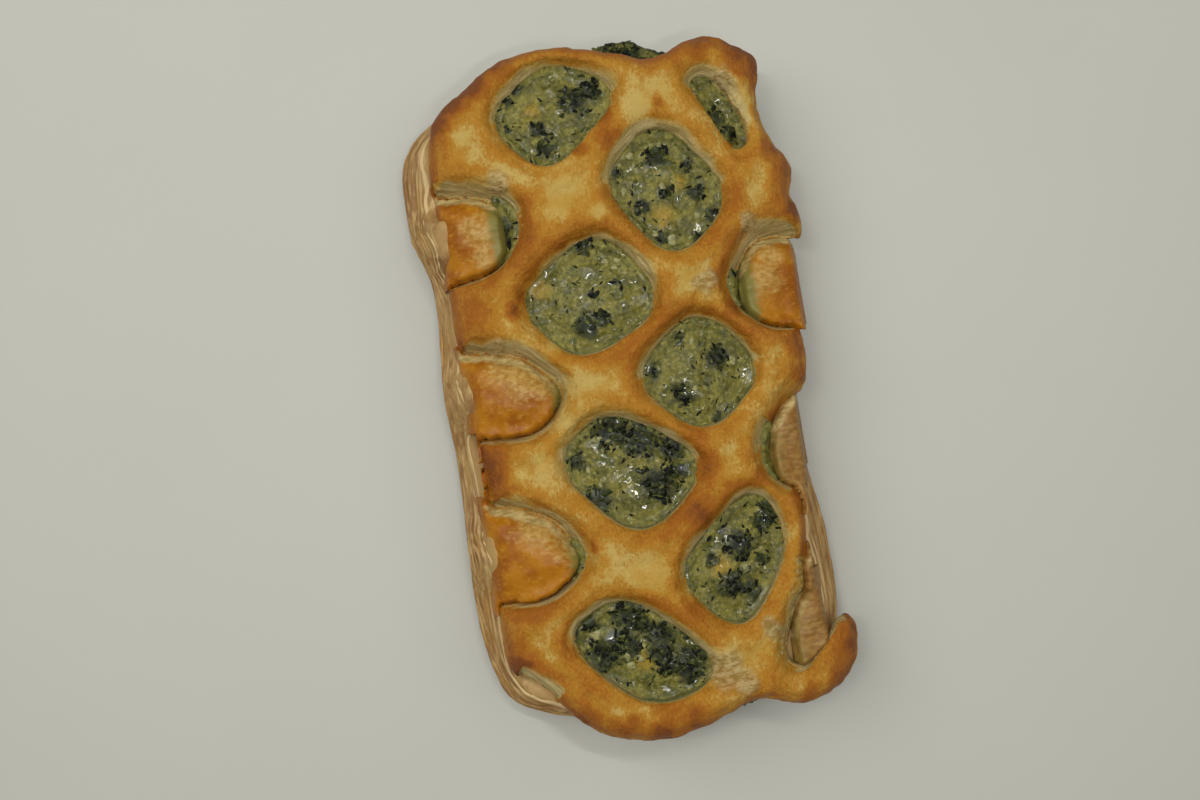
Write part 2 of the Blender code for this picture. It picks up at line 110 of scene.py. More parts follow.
class Shade:
    """A socket of a material's nodes that takes part in sums, so that they read as plain maths."""

    def __init__(self, tree, socket=None):
        self.tree = tree
        self.socket = socket

    def node(self, kind, settings=None, out=0, **sockets):
        """One node with its settings, then its sockets' values or links. A socket_N is the Nth input."""
        made = self.tree.nodes.new(kind)
        for name, value in (settings or {}).items():
            setattr(made, name, value)
        for name, value in sockets.items():
            key = int(name[7:]) if name.startswith("socket_") else name.replace("_", " ")
            if isinstance(value, Shade):
                self.tree.links.new(value.socket, made.inputs[key])
            else:
                made.inputs[key].default_value = value
        return Shade(self.tree, made.outputs[out])

    def maths(self, operation, first, second):
        return self.node("ShaderNodeMath", {"operation": operation}, socket_0=first, socket_1=second)

    def __add__(self, other):
        return self.maths("ADD", self, other)

    def __sub__(self, other):
        return self.maths("SUBTRACT", self, other)

    def __rsub__(self, other):
        return self.maths("SUBTRACT", other, self)

    def __mul__(self, other):
        return self.maths("MULTIPLY", self, other)

    __radd__ = __add__
    __rmul__ = __mul__

    def between(self, low, high):
        """0 below low and 1 above high, with a soft step between them."""
        return self.node(
            "ShaderNodeMapRange", {"interpolation_type": "SMOOTHSTEP"},
            Value=self, From_Min=low, From_Max=high,
        )

    def stored(self, name):
        """A value that the mesh stores at its points."""
        return self.node("ShaderNodeAttribute", {"attribute_name": name}, out=2)

    def place(self, stretch=(1.0, 1.0, 1.0)):
        """The point's place on the object, in millimetres, stretched."""
        at = self.node("ShaderNodeTexCoord", out=3)
        scale = tuple(s / MM for s in stretch)
        return self.node("ShaderNodeMapping", {"vector_type": "POINT"}, Vector=at, Scale=scale)

    def speckle(self, size, detail=3.0, roughness=0.55, stretch=(1.0, 1.0, 1.0)):
        """Cloudy noise from 0 to 1, with blotches about this many millimetres across."""
        return self.node(
            "ShaderNodeTexNoise", Vector=self.place(stretch), Scale=1.0 / size, Detail=detail,
            Roughness=roughness,
        )

    def tint(self, first, second, share):
        """The first colour, changing to the second as share goes from 0 to 1."""
        first, second = (c if isinstance(c, Shade) else seen(*c) for c in (first, second))
        return self.node(
            "ShaderNodeMix", {"data_type": "RGBA", "clamp_factor": True}, out=2,
            socket_0=share, socket_6=first, socket_7=second,
        )

    def bump(self, strength, depth):
        """Fine relief that stands this many millimetres out where the value is 1."""
        return self.node("ShaderNodeBump", Strength=strength, Distance=depth * MM, Height=self)


def new_finish(name, **constants):
    """A material with these constant values on its shader, its shader, and a Shade to add nodes with."""
    made = bpy.data.materials.new(name)
    made.use_nodes = True
    shader = made.node_tree.nodes["Principled BSDF"]
    for socket, value in constants.items():
        shader.inputs[socket.replace("_", " ")].default_value = value
    return made, shader, Shade(made.node_tree)


def wire(shader, **links):
    """Links these nodes to the shader's sockets."""
    for socket, shade in links.items():
        shade.tree.links.new(shade.socket, shader.inputs[socket.replace("_", " ")])


bpy.ops.object.select_all(action="DESELECT")
bpy.ops.mesh.primitive_plane_add(size=TABLE_SIZE * MM, location=(0.0, 0.0, 0.0))
table = bpy.context.active_object
table.name = "table_top"
bpy.ops.object.transform_apply(location=True, rotation=True, scale=True)
table_finish, shader, shade = new_finish("pale_table", Roughness=0.55, Specular_IOR_Level=0.3)
wire(shader, Base_Color=shade.tint(*TABLE_COLOURS, shade.speckle(TABLE_BLOTCH)))
table.data.materials.append(table_finish)

for number, (place, (length, width), watts) in enumerate(LIGHTS):
    place = Vector(place) * MM
    bpy.ops.object.light_add(type="AREA", location=place)
    lamp = bpy.context.active_object
    lamp.name = f"light_{number}"
    lamp.rotation_euler = place.to_track_quat("Z", "Y").to_euler()
    lamp.data.shape = "RECTANGLE"
    lamp.data.size, lamp.data.size_y = length * MM, width * MM
    lamp.data.energy = watts

world = bpy.data.worlds.new("soft_room")
world.use_nodes = True
world.node_tree.nodes["Background"].inputs["Color"].default_value = ROOM_COLOUR
world.node_tree.nodes["Background"].inputs["Strength"].default_value = ROOM_LIGHT
bpy.context.scene.world = world
bpy.context.scene.view_settings.view_transform = "Standard"

bpy.ops.object.camera_add(location=Vector(CAMERA_PLACE) * MM, rotation=(0.0, 0.0, CAMERA_TURN))
camera = bpy.context.active_object
camera.data.lens = CAMERA_LENS
camera.data.sensor_width = CAMERA_SENSOR
camera.data.clip_start = CAMERA_NEAR * MM
bpy.context.scene.camera = camera

# Lattice of the top sheet
# One sheet of puff pastry, cut by a lattice roller and pulled open over the filling, then brushed with egg.
# It browned along the strands and at their outer edges, and stayed pale where strands meet and on the cuts.
LATTICE_CELL = 0.5
LATTICE_SMOOTHING = 14
MERGE_WITHIN = 0.005
# Lift of the strands' edges below a window, and drop of those above one, which slope into it
LOW_EDGE_LIFT = 0.9
HIGH_EDGE_DROP = 1.5
LOW_EDGE_WIDTH = 3.0
HIGH_EDGE_WIDTH = 4.4
# Dip of the middle of the junctions, and how far from the cuts it begins and is full
JUNCTION_DIP = 0.4
JUNCTION_FROM = (3.8, 6.5)
CUT_STEEPNESS = 0.3
WALL_TRIM = 0.65
WALL_RELIEF = 0.2
EDGE_RELIEF = 0.3
# Bumps of the crust: height, width, seed and octaves
CRUST_BUMPS = ((0.22, 6.0, 21, 3), (0.2, 2.2, 22, 4))
# How far out from a cut edge the opening is looked at, and from what height
LOOK_OUT = 9.0
ABOVE = 60.0
DOWN = Vector((0.0, 0.0, -1.0))
HALF_WIDTH, HALF_LENGTH = 42.0, 73.0
# How toasted the strands are, and how far to +Y of their middle line they are most so
TOASTED = 0.62
TOASTED_SHIFT = 0.9
# Colours as a display shows them, from 0 to 255
CRUST_CREAM = ((200, 170, 92), (190, 150, 62))
CRUST_GOLD = (181, 127, 34)
CRUST_BROWN = (160, 95, 14)
CRUST_DARK = (124, 66, 16)
CUT_DOUGH = ((168, 146, 88), (206, 184, 126))
DAMP_DOUGH = ((104, 106, 56), (132, 130, 80))
LIFTED_FLAKES = ((158, 128, 68), (204, 182, 128))
# Places that browned more, and places that stayed paler: x, y, radius
BROWNED = (
    (-21.5, 68.0, 4.5), (-26.2, 64.6, 2.9), (-14.7, 70.9, 2.9), (-28.9, 60.9, 2.0), (15.7, 58.0, 1.4),
    (26.3, 68.0, 2.9), (33.2, 65.8, 2.9), (36.1, 62.2, 3.5), (40.3, 40.7, 2.5), (40.5, 32.3, 2.5),
    (36.2, 5.0, 3.3), (35.8, -1.1, 2.5), (-27.5, 21.2, 3.7), (-20.9, 20.7, 1.6), (-8.8, 31.9, 1.2),
    (-30.5, -8.4, 3.7), (31.0, -25.3, 1.6), (35.7, -52.0, 2.5), (36.1, -58.3, 3.0), (32.6, -64.0, 2.9),
    (26.0, -66.4, 2.5), (-13.6, -67.0, 2.9), (-5.6, -68.8, 2.5), (-19.2, -63.3, 2.5), (-31.7, -51.4, 2.5),
    (10.1, -25.8, 2.4), (-29.0, -12.6, 3.4), (-10.4, -65.2, 2.4), (2.0, -66.6, 2.4), (24.0, 14.4, 2.2),
    (28.7, -10.3, 2.6), (3.6, 56.8, 2.4), (4.5, 52.5, 2.4), (-1.5, 51.0, 2.0), (33.2, 9.6, 2.4),
    (37.6, 45.4, 2.2), (1.4, 30.4, 1.0), (-17.4, 22.8, 2.0), (-12.0, -30.0, 1.2),
)
PALE = (
    (-7.3, 41.6, 3.3), (12.0, 57.0, 2.0), (16.1, 20.9, 3.3), (20.5, 16.0, 2.9), (-2.2, -37.2, 4.1),
    (5.3, -41.6, 2.9), (8.9, -56.8, 4.5), (11.9, -63.5, 2.5), (19.7, -54.5, 2.5), (-21.1, 46.1, 4.1),
    (33.7, 56.4, 3.3), (0.2, 37.2, 2.0), (-24.8, 12.4, 2.9), (-12.4, 12.4, 2.5), (-25.8, -17.5, 2.0),
    (-9.1, -64.4, 1.6),
)
# Pale places whose thin leaves cracked and lifted: x, y, radius
FLAKY = (
    (9.6, -57.8, 4.6), (13.0, -62.0, 2.8), (18.8, 19.9, 3.0), (29.7, 60.8, 2.6), (-19.4, 47.0, 2.6),
    (-26.0, 14.0, 2.4), (20.6, -51.6, 2.6), (30.0, 30.5, 2.2),
)


def pick(piece):
    """Makes this the only selected piece, and the active one."""
    bpy.ops.object.select_all(action="DESELECT")
    piece.select_set(True)
    bpy.context.view_layer.objects.active = piece


def dense_copy(node, name, cell, smoothing):
    """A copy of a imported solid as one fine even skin, with its points and the way out at each."""
    pick(frame["nodes"][node])
    bpy.ops.object.duplicate()
    piece = bpy.context.active_object
    piece.name = name
    piece.parent = None
    del piece["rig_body"], piece["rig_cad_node"]
    piece.data.materials.clear()
    bpy.ops.object.mode_set(mode="EDIT")
    bpy.ops.mesh.select_all(action="SELECT")
    bpy.ops.mesh.remove_doubles(threshold=MERGE_WITHIN * MM)
    bpy.ops.object.mode_set(mode="OBJECT")
    rounding = piece.modifiers.new("rounding", "SUBSURF")
    rounding.levels = rounding.render_levels = 1
    skin = piece.modifiers.new("skin", "REMESH")
    skin.mode = "VOXEL"
    skin.voxel_size = cell * MM
    soften = piece.modifiers.new("soften", "SMOOTH")
    soften.iterations = smoothing
    for modifier in list(piece.modifiers):
        bpy.ops.object.modifier_apply(modifier=modifier.name)
    return piece, points_of(piece), normals_of(piece)


def skin_of(piece):
    """The piece's surface, for finding where straight lines meet it."""
    return BVHTree.FromObject(piece, bpy.context.evaluated_depsgraph_get())


def seen_from_above(surface, x, y):
    """The highest point of a surface at a place in plan, or None where it has none."""
    return surface.ray_cast(Vector((x, y, ABOVE)) * MM, DOWN)[0]


def points_of(piece):
    """The mesh's points in millimetres, one to a row."""
    found = np.empty(len(piece.data.vertices) * 3, np.float32)
    piece.data.vertices.foreach_get("co", found)
    return found.reshape(-1, 3).astype(float) / MM


def normals_of(piece):
    """The way out of the surface at each of the mesh's points."""
    found = np.empty(len(piece.data.vertices) * 3, np.float32)
    piece.data.vertex_normals.foreach_get("vector", found)
    return found.reshape(-1, 3).astype(float)


def move_points(piece, points):
    """Moves the mesh's points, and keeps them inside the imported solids' box."""
    low, high = np.array(cad_box[0]) / MM, np.array(cad_box[1]) / MM
    points = np.clip(points, low, high)
    piece.data.vertices.foreach_set("co", (points * MM).astype(np.float32).ravel())
    piece.data.update()


def store(piece, name, values):
    """Keeps one number per point, for the piece's finish to read."""
    layer = piece.data.attributes.new(name, "FLOAT", "POINT")
    layer.data.foreach_set("value", np.asarray(values, np.float32))


def soft_step(value, low, high):
    """0 below low and 1 above high, with a soft step between them."""
    t = np.clip((value - low) / (high - low), 0.0, 1.0)
    return t * t * (3.0 - 2.0 * t)


def crumple(points, size, seed, octaves=3):
    """Uneven relief of about -1 to 1, with its widest bumps about this many millimetres across."""
    shift = Vector((7.3, 3.1, 5.7)) * seed
    scale = 1.0 / size
    return np.array([noise.fractal(Vector(p) * scale + shift, 1.0, 2.0, octaves) for p in points])


def near_spots(points, spots, ragged, seed):
    """How strongly each point belongs to one of these spots, from 0 to 1, by its place in plan."""
    x_shift = ragged * crumple(points, 2.6 * ragged, seed)
    y_shift = ragged * crumple(points, 2.6 * ragged, seed + 0.5)
    share = np.zeros(len(points))
    for x, y, radius in spots:
        away = np.hypot(points[:, 0] + x_shift - x, points[:, 1] + y_shift - y) / radius
        share = np.maximum(share, 1.0 - soft_step(away, 0.1, 1.5))
    return share


def relax(piece, values, chosen, rounds):
    """Evens out one number per point among neighbours, at the chosen points only."""
    edges = np.empty(len(piece.data.edges) * 2, np.int32)
    piece.data.edges.foreach_get("vertices", edges)
    one, other = edges.reshape(-1, 2).T
    counts = np.bincount(one, minlength=len(values)) + np.bincount(other, minlength=len(values))
    for _ in range(rounds):
        sums = np.bincount(one, values[other], len(values)) + np.bincount(other, values[one], len(values))
        values = np.where(chosen, sums / np.maximum(counts, 1), values)
    return values


lattice, points, normals = dense_copy("lattice", "pastry_lattice", LATTICE_CELL, LATTICE_SMOOTHING)
steep = np.abs(normals[:, 2]) < CUT_STEEPNESS
base_solid, filling_solid = skin_of(frame["nodes"]["base"]), skin_of(frame["nodes"]["filling"])
cut_edges = KDTree(int(steep.sum()))
at_window = {}
over_sheet = {}
for index in np.flatnonzero(steep):
    x, y, z = points[index]
    cut_edges.insert((x, y, 0.0), int(index))
    out = normals[index, :2] / (np.linalg.norm(normals[index, :2]) + 1e-9) * LOOK_OUT
    hits = [seen_from_above(solid, x + out[0], y + out[1]) for solid in (base_solid, filling_solid)]
    sheet_height, filling_height = [-1.0 if hit is None else hit.z for hit in hits]
    at_window[int(index)] = max(sheet_height, filling_height) >= 0.0
    over_sheet[int(index)] = sheet_height > filling_height
cut_edges.balance()


def to_cut(x, y):
    """How near the nearest cut edge is, how far to +Y, and if it is a window's and over the sheet."""
    place, index, away = cut_edges.find((x, y, 0.0))
    return away, (place[1] - y) / max(away, 0.3), float(at_window[index]), float(over_sheet[index])


inland, ahead, window, dry = np.array([to_cut(x, y) for x, y in points[:, :2]]).T
upward = soft_step(normals[:, 2], 0.1, 0.75)
facing_up = soft_step(normals[:, 2], -0.1, 0.4)
low_side = window * soft_step(ahead, 0.0, 0.7)
high_side = window * soft_step(-ahead, -0.1, 0.6)
near_low_edge = facing_up * (1.0 - soft_step(inland, 0.0, LOW_EDGE_WIDTH)) * low_side
near_high_edge = facing_up * (1.0 - soft_step(inland, 0.0, HIGH_EDGE_WIDTH)) * high_side
points[:, 2] += LOW_EDGE_LIFT * near_low_edge * (1.0 - 0.6 * dry) - HIGH_EDGE_DROP * near_high_edge
points[:, 2] -= JUNCTION_DIP * upward * soft_step(inland, *JUNCTION_FROM)
points -= normals * (WALL_TRIM * window * (1.0 - soft_step(np.abs(normals[:, 2]), 0.3, 0.9)))[:, None]
crest = (upward > 0.9) & (inland > 1.5)


def bowl_terms(x, y):
    """The terms of a smooth surface of the fourth degree over the pastry."""
    u, v = x / HALF_WIDTH, y / HALF_LENGTH
    return np.stack([u**i * v**j for i in range(5) for j in range(5 - i)], axis=-1)


terms = bowl_terms(points[crest, 0], points[crest, 1])
crest_shape = np.linalg.lstsq(terms, points[crest, 2], rcond=None)[0]
depth = bowl_terms(points[:, 0], points[:, 1]) @ crest_shape - points[:, 2]
for height, size, seed, octaves in CRUST_BUMPS:
    points += normals * (upward * height * crumple(points, size, seed, octaves))[:, None]
edge = (1.0 - window) * (1.0 - soft_step(inland, 0.0, 2.0))
ragged = crumple(points, 3.4, seed=31, octaves=3) - 0.5
points += normals * (edge * EDGE_RELIEF * ragged)[:, None]
layers = crumple(points * np.array([0.12, 0.12, 1.0]), 1.1, seed=26, octaves=2)
points += normals * ((1.0 - upward) * WALL_RELIEF * layers)[:, None]
move_points(lattice, points)
tilt = normals_of(lattice)[:, 2]
band = 2.6 + 1.4 * crumple(points, 9.0, seed=37, octaves=2)
wall = window * (1.0 - soft_step(tilt, 0.15, 0.5))
wall = np.maximum(wall, high_side * (1.0 - soft_step(inland - band, -1.2, 1.2)))
shifted = np.array([to_cut(x, y - TOASTED_SHIFT)[0] for x, y in points[:, :2]])
width = shifted + 0.8 * crumple(points, 8.0, seed=23, octaves=3)
width += 0.3 * crumple(points, 2.5, seed=29, octaves=2)
strand = soft_step(width, -0.4, 1.2) * (1.0 - 0.75 * soft_step(width, 3.6, 7.4))
browned = near_spots(points, BROWNED, ragged=1.3, seed=24)
pale = near_spots(points, PALE, ragged=1.6, seed=25)
toasted = strand * (TOASTED + 0.5 * crumple(points, 19.0, seed=27, octaves=3))
toasted += 0.22 * crumple(points, 4.5, seed=28, octaves=3)
rim = (1.0 - window) * (1.0 - soft_step(inland, 0.3, 2.8))
rim *= 0.5 + 0.5 * crumple(points, 12.0, seed=30, octaves=3)
store(lattice, "toasted", (toasted + 0.75 * browned + rim - 0.6 * pale) * (1.0 - wall) - 0.5 * wall)
store(lattice, "wall", wall)
wet = relax(lattice, 1.0 - dry, np.ones(len(points), bool), rounds=6)
store(lattice, "depth", (depth + 1.8 * window * soft_step(ahead, -0.1, 0.4)) * wet)
store(lattice, "flaky", near_spots(points, FLAKY, ragged=1.4, seed=38))
bpy.ops.object.shade_smooth()

crust_finish, shader, shade = new_finish(
    "golden_crust", Subsurface_Weight=0.08, Subsurface_Scale=0.6 * MM, Specular_IOR_Level=0.25,
)
patchy = shade.speckle(6.0, detail=5.0, roughness=0.65)
grain = shade.speckle(0.7, detail=4.0, roughness=0.7)
fibres = shade.speckle(0.45, detail=5.0, roughness=0.75, stretch=(1.0, 0.45, 1.0))
toasted = shade.stored("toasted") + 1.3 * (patchy - 0.5) + 0.9 * (grain - 0.5) + 1.3 * (fibres - 0.5)
cream = shade.tint(*CRUST_CREAM, patchy.between(0.35, 0.65))
streaks = shade.speckle(1.0, detail=3.0, roughness=0.6, stretch=(0.12, 0.12, 1.2))
cut_colour = shade.tint(*CUT_DOUGH, streaks.between(0.4, 0.6))
damp_colour = shade.tint(*DAMP_DOUGH, grain.between(0.4, 0.6))
damp = (shade.stored("depth") + 1.5 * (patchy - 0.5)).between(2.4, 4.2)
cut_colour = shade.tint(cut_colour, damp_colour, damp)
crust = shade.tint(cream, CRUST_GOLD, toasted.between(0.0, 0.45))
crust = shade.tint(crust, CRUST_BROWN, toasted.between(0.4, 1.0))
crust = shade.tint(crust, CRUST_DARK, toasted.between(1.0, 1.7))
crust = shade.tint(crust, cut_colour, shade.stored("wall").between(0.1, 0.9))
flakes = shade.speckle(1.6, detail=5.0, roughness=0.7, stretch=(0.8, 1.5, 1.0))
flaky = shade.stored("flaky").between(0.1, 0.8)
flake_colour = shade.tint(*LIFTED_FLAKES, flakes.between(0.42, 0.58))
crust = shade.tint(crust, flake_colour, flaky * 0.75)
relief = grain + 0.7 * shade.speckle(2.0) + 0.5 * streaks + 0.8 * fibres + 2.4 * flakes * flaky
wire(
    shader,
    Base_Color=crust,
    Roughness=0.5 - 0.1 * toasted.between(0.0, 1.0) + 0.12 * grain,
    Normal=relief.bump(strength=1.0, depth=0.4),
)
lattice.data.materials.append(crust_finish)
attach(lattice, "root")
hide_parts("lattice")

# Bottom sheet of puff pastry
# The lower sheet of laminated dough: a thick crisp floor whose sides have risen into flaky walls. It is
# baked in one with the leaves of its sides and with the pillows of dough in the half windows.
SHEET_CELL = 0.58
SHEET_SMOOTHING = 5
FLANK_INSET = 0.55
LAYER_STEP = 1.5
LAYER_WAVE = 0.7
GROOVE_DEPTH = 0.35
# How far below the crust's crest the dough under the half windows lies, and where its dome ends
DOME_SINK = 5.6
DOME_EDGE = 35.0
DOME_RELIEF = 0.25
# How much lower the dome is beside the crust, over what width, and how far from the crust it fades out
DOME_DROP = 0.8
DOME_DROP_WIDTH = 1.5
DOME_FADE = (9.0, 12.0)
# How far the dome goes on under the crust
DOME_TUCK = 1.6
SHEET_TAN = ((170, 136, 80), (126, 86, 40))
SHEET_LAYERS = (190, 162, 108)
UP = Vector((0.0, 0.0, 1.0))
# How far under a point the search for the crust over it starts, and how far up it looks
SEARCH_BELOW = 3.0
SEARCH_UP = 20.0


def roofs_over(points, upper, roof):
    """The height of the crust's underside over each upper point, or no number where nothing covers it."""
    found = np.full(len(points), np.nan)
    for i in np.flatnonzero(upper):
        x, y, z = points[i]
        hit = roof.ray_cast(Vector((x, y, z - SEARCH_BELOW)) * MM, UP, SEARCH_UP * MM)
        if hit[0] is not None:
            found[i] = hit[0].z / MM
    return found


def nearest_in(points, chosen):
    """A search tree, in plan, of the chosen points."""
    tree = KDTree(int(chosen.sum()))
    for index in np.flatnonzero(chosen):
        tree.insert((points[index, 0], points[index, 1], 0.0), int(index))
    tree.balance()
    return tree


sheet, points, normals = dense_copy("base", "pastry_sheet", SHEET_CELL, SHEET_SMOOTHING)
bearing = np.column_stack([points[:, 0] / HALF_WIDTH**2, points[:, 1] / HALF_LENGTH**2])
bearing /= np.linalg.norm(bearing, axis=1)[:, None] + 1e-9
facing_out = (normals[:, :2] * bearing).sum(axis=1)
flank = soft_step(facing_out, 0.15, 0.6) * (1.0 - soft_step(np.abs(normals[:, 2]), 0.55, 0.95))
upward = soft_step(normals[:, 2], 0.3, 0.8)
roof = skin_of(lattice)
upper = (normals[:, 2] > 0.2) & (flank < 0.5)
roof_height = roofs_over(points, upper, roof)
bare = upper & np.isnan(roof_height)
covered = upper & ~bare
for i in np.flatnonzero(bare):
    if filling_solid.ray_cast(Vector(points[i]) * MM, UP)[0] is not None:
        bare[i] = False
under_crust = nearest_in(points, covered)
in_open = nearest_in(points, bare)
at = np.clip(points[:, 0], -DOME_EDGE, DOME_EDGE)
crown = bowl_terms(at, points[:, 1]) @ crest_shape - DOME_SINK
target = points[:, 2].copy()
for i in np.flatnonzero(upper):
    x, y, z = points[i]
    if bare[i]:
        place, index, away = under_crust.find((x, y, 0.0))
        risen = crown[i] - DOME_DROP * math.exp(-away / DOME_DROP_WIDTH)
        inside = soft_step(DOME_EDGE + 2.0 - abs(x), 0.0, 3.0) * (1.0 - soft_step(away, *DOME_FADE))
        target[i] = max(z, z + (risen - z) * inside)
    else:
        place, index, away = in_open.find((x, y, 0.0))
        if away < DOME_TUCK:
            target[i] = max(z, min(roof_height[i] + 0.3, crown[i] - 1.0))
target = relax(sheet, target, bare, rounds=10)
points[:, 2] = target
wavy_height = points[:, 2] + LAYER_WAVE * crumple(points, 22.0, seed=1, octaves=2)
layer = wavy_height / LAYER_STEP
groove = np.abs(layer - np.round(layer)) * 2.0
points += normals * (upward * DOME_RELIEF * crumple(points, 7.0, seed=2))[:, None]
points -= normals * (flank * (FLANK_INSET + GROOVE_DEPTH * (1.0 - groove)))[:, None]
points[:, 2] = np.where(normals[:, 2] < -0.9, points_of(sheet)[:, 2], points[:, 2])
move_points(sheet, points)
pick(sheet)
bpy.ops.object.shade_smooth()

flaky_finish, shader, shade = new_finish(
    "flaky_pastry", Subsurface_Weight=0.08, Subsurface_Scale=0.6 * MM, Specular_IOR_Level=0.4,
)
browned = shade.speckle(9.0, detail=4.0)
tan = shade.tint(*SHEET_TAN, browned.between(0.38, 0.68))
lines = shade.speckle(1.1, detail=3.0, roughness=0.6, stretch=(0.12, 0.12, 1.0))
tan = shade.tint(tan, SHEET_LAYERS, lines.between(0.55, 0.75))
fine = shade.speckle(0.7, detail=4.0, roughness=0.6)
wire(shader, Base_Color=tan, Roughness=0.6 + 0.1 * fine, Normal=fine.bump(strength=0.5, depth=0.12))
sheet.data.materials.append(flaky_finish)
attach(sheet, "root")
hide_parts("base")

# Pillows of dough in the half windows
# Where the lattice opens to the sides, the bottom sheet's dough swelled up between the strands as glazed
# pillows. They are golden where the egg wash lay thick, and pale, thin and blistered on their crowns. The
# pale of the crowns is partly painted sheen, a highlight of the light on them.
PILLOW_CELL = 0.36
PILLOW_SINK = 1.5
PILLOW_DEPTH = 2.6
PILLOW_HEM = 2.0
PILLOW_GAP = 0.35
PILLOW_PROBE = 8.0
PILLOW_RELIEF = 0.3
# How far from its border a pillow begins to swell, and where it is at its highest
SWELL_RAMP = (0.5, 7.0)
# How far a pillow goes down at its inner side and past its outer edge
INNER_DROP = 3.0
OUTER_DROP = 4.0
# How much lower its top is at its outer edge, and how far past that edge it still reaches
OUTER_ROUNDING = 1.6
OUTER_MARGIN = 1.3
# Over what width a pillow rises to the lattice, and how far below it ends there at its low and its high side
RIM_BLEND = 2.0
LOW_STEP = -0.1
HIGH_STEP = 0.5
# How far past the lattice's border its height is taken
RIM_LOOK = 1.2
# Each pillow: its least and greatest x and y, the x of its outer edge at y = 0, and how far it swells
PILLOWS = (
    ((-37.0, -19.4, 27.8, 49.9), -34.2, 1.3),
    ((-37.5, -12.6, -2.8, 16.3), -34.2, 1.5),
    ((-38.0, -14.6, -41.0, -15.9), -34.2, 1.5),
    ((26.2, 40.0, 7.2, 29.6), 38.4, 1.0),
    ((26.6, 37.0, -24.6, -5.0), 34.4, -0.6),
    ((24.6, 37.0, -62.0, -42.0), 33.6, -0.6),
)
# How far the pillows' outer edges move to +X with each millimetre along +Y
EDGE_SLANT = 0.022
GLAZE_GOLD = ((168, 108, 8), (144, 80, 2))
GLAZE_CRACKLE = (184, 136, 44)
CROWN_PALE_AND_SHEEN = ((158, 114, 42), (184, 148, 78))
PLAIN_DOUGH = ((150, 116, 60), (122, 88, 44))
DAMP_BORDER = (122, 114, 54)
CUT_FACE = ((158, 136, 80), (192, 168, 110))
# Pale blistered crowns, their pale partly a painted sheen: x, y, radius
BLISTERED_CROWNS_AND_SHEEN = (
    (-25.0, 37.8, 4.2), (-24.0, 33.0, 2.8), (-21.6, 39.6, 2.6), (-21.4, 7.4, 5.6), (-25.4, 9.4, 3.8),
    (-17.4, 5.0, 3.4), (-23.2, -24.2, 5.2), (-18.0, -28.8, 3.4), (-26.0, -20.6, 2.6), (31.0, 19.0, 4.6),
    (33.4, 24.0, 3.4), (30.4, -14.0, 2.6), (29.0, -53.0, 2.8), (30.6, -57.0, 1.8),
)


def corner_of(kept):
    """The grid points that are a corner of a kept cell."""
    corner = np.zeros((kept.shape[0] + 1, kept.shape[1] + 1), bool)
    for di in (0, 1):
        for dj in (0, 1):
            corner[di:di + kept.shape[0], dj:dj + kept.shape[1]] |= kept
    return corner


def evened(field, rounds):
    """A grid of heights with each point drawn to the mean of its neighbours, so many times."""
    for _ in range(rounds):
        wide = np.pad(field, 1, mode="edge")
        field = (wide[:-2, 1:-1] + wide[2:, 1:-1] + wide[1:-1, :-2] + wide[1:-1, 2:] + 2.0 * field) / 6.0
    return field


def new_piece(name, places, faces):
    """A new piece with these points, in metres, and faces."""
    mesh = bpy.data.meshes.new(name)
    mesh.from_pydata(places, [], faces)
    piece = bpy.data.objects.new(name, mesh)
    bpy.context.scene.collection.objects.link(piece)
    pick(piece)
    return piece


def joined(parts, name):
    """The parts as one piece of this name."""
    bpy.ops.object.select_all(action="DESELECT")
    for part in parts:
        part.select_set(True)
    bpy.context.view_layer.objects.active = parts[0]
    bpy.ops.object.join()
    piece = bpy.context.active_object
    piece.name = name
    return piece


def grid_solid(name, x, y, top, bottom, kept):
    """A closed piece between two heights over the kept cells of a grid."""
    corner = corner_of(kept)
    number = np.full(x.shape, -1)
    number[corner] = np.arange(corner.sum())
    count = int(corner.sum())
    verts = np.concatenate([np.column_stack([x[corner], y[corner], z[corner]]) for z in (top, bottom)])
    faces, borders = [], {}
    for i, j in np.argwhere(kept):
        ring = [number[i, j], number[i + 1, j], number[i + 1, j + 1], number[i, j + 1]]
        faces.append(ring)
        faces.append([k + count for k in ring[::-1]])
        for a, b in zip(ring, ring[1:] + ring[:1]):
            if (b, a) in borders:
                del borders[(b, a)]
            else:
                borders[(a, b)] = True
    faces += [[b, a, a + count, b + count] for a, b in borders]
    return new_piece(name, (verts * MM).tolist(), [[int(k) for k in f] for f in faces])


def linked(cells):
    """Those of the grid's marked cells that are joined to the ones in its middle."""
    found = np.zeros(cells.shape, bool)
    middle = tuple(slice(n // 2 - 4, n // 2 + 5) for n in cells.shape)
    found[middle] = cells[middle]
    while True:
        grown = found.copy()
        grown[1:] |= found[:-1]
        grown[:-1] |= found[1:]
        grown[:, 1:] |= found[:, :-1]
        grown[:, :-1] |= found[:, 1:]
        grown &= cells
        if (grown == found).all():
            return found
        found = grown


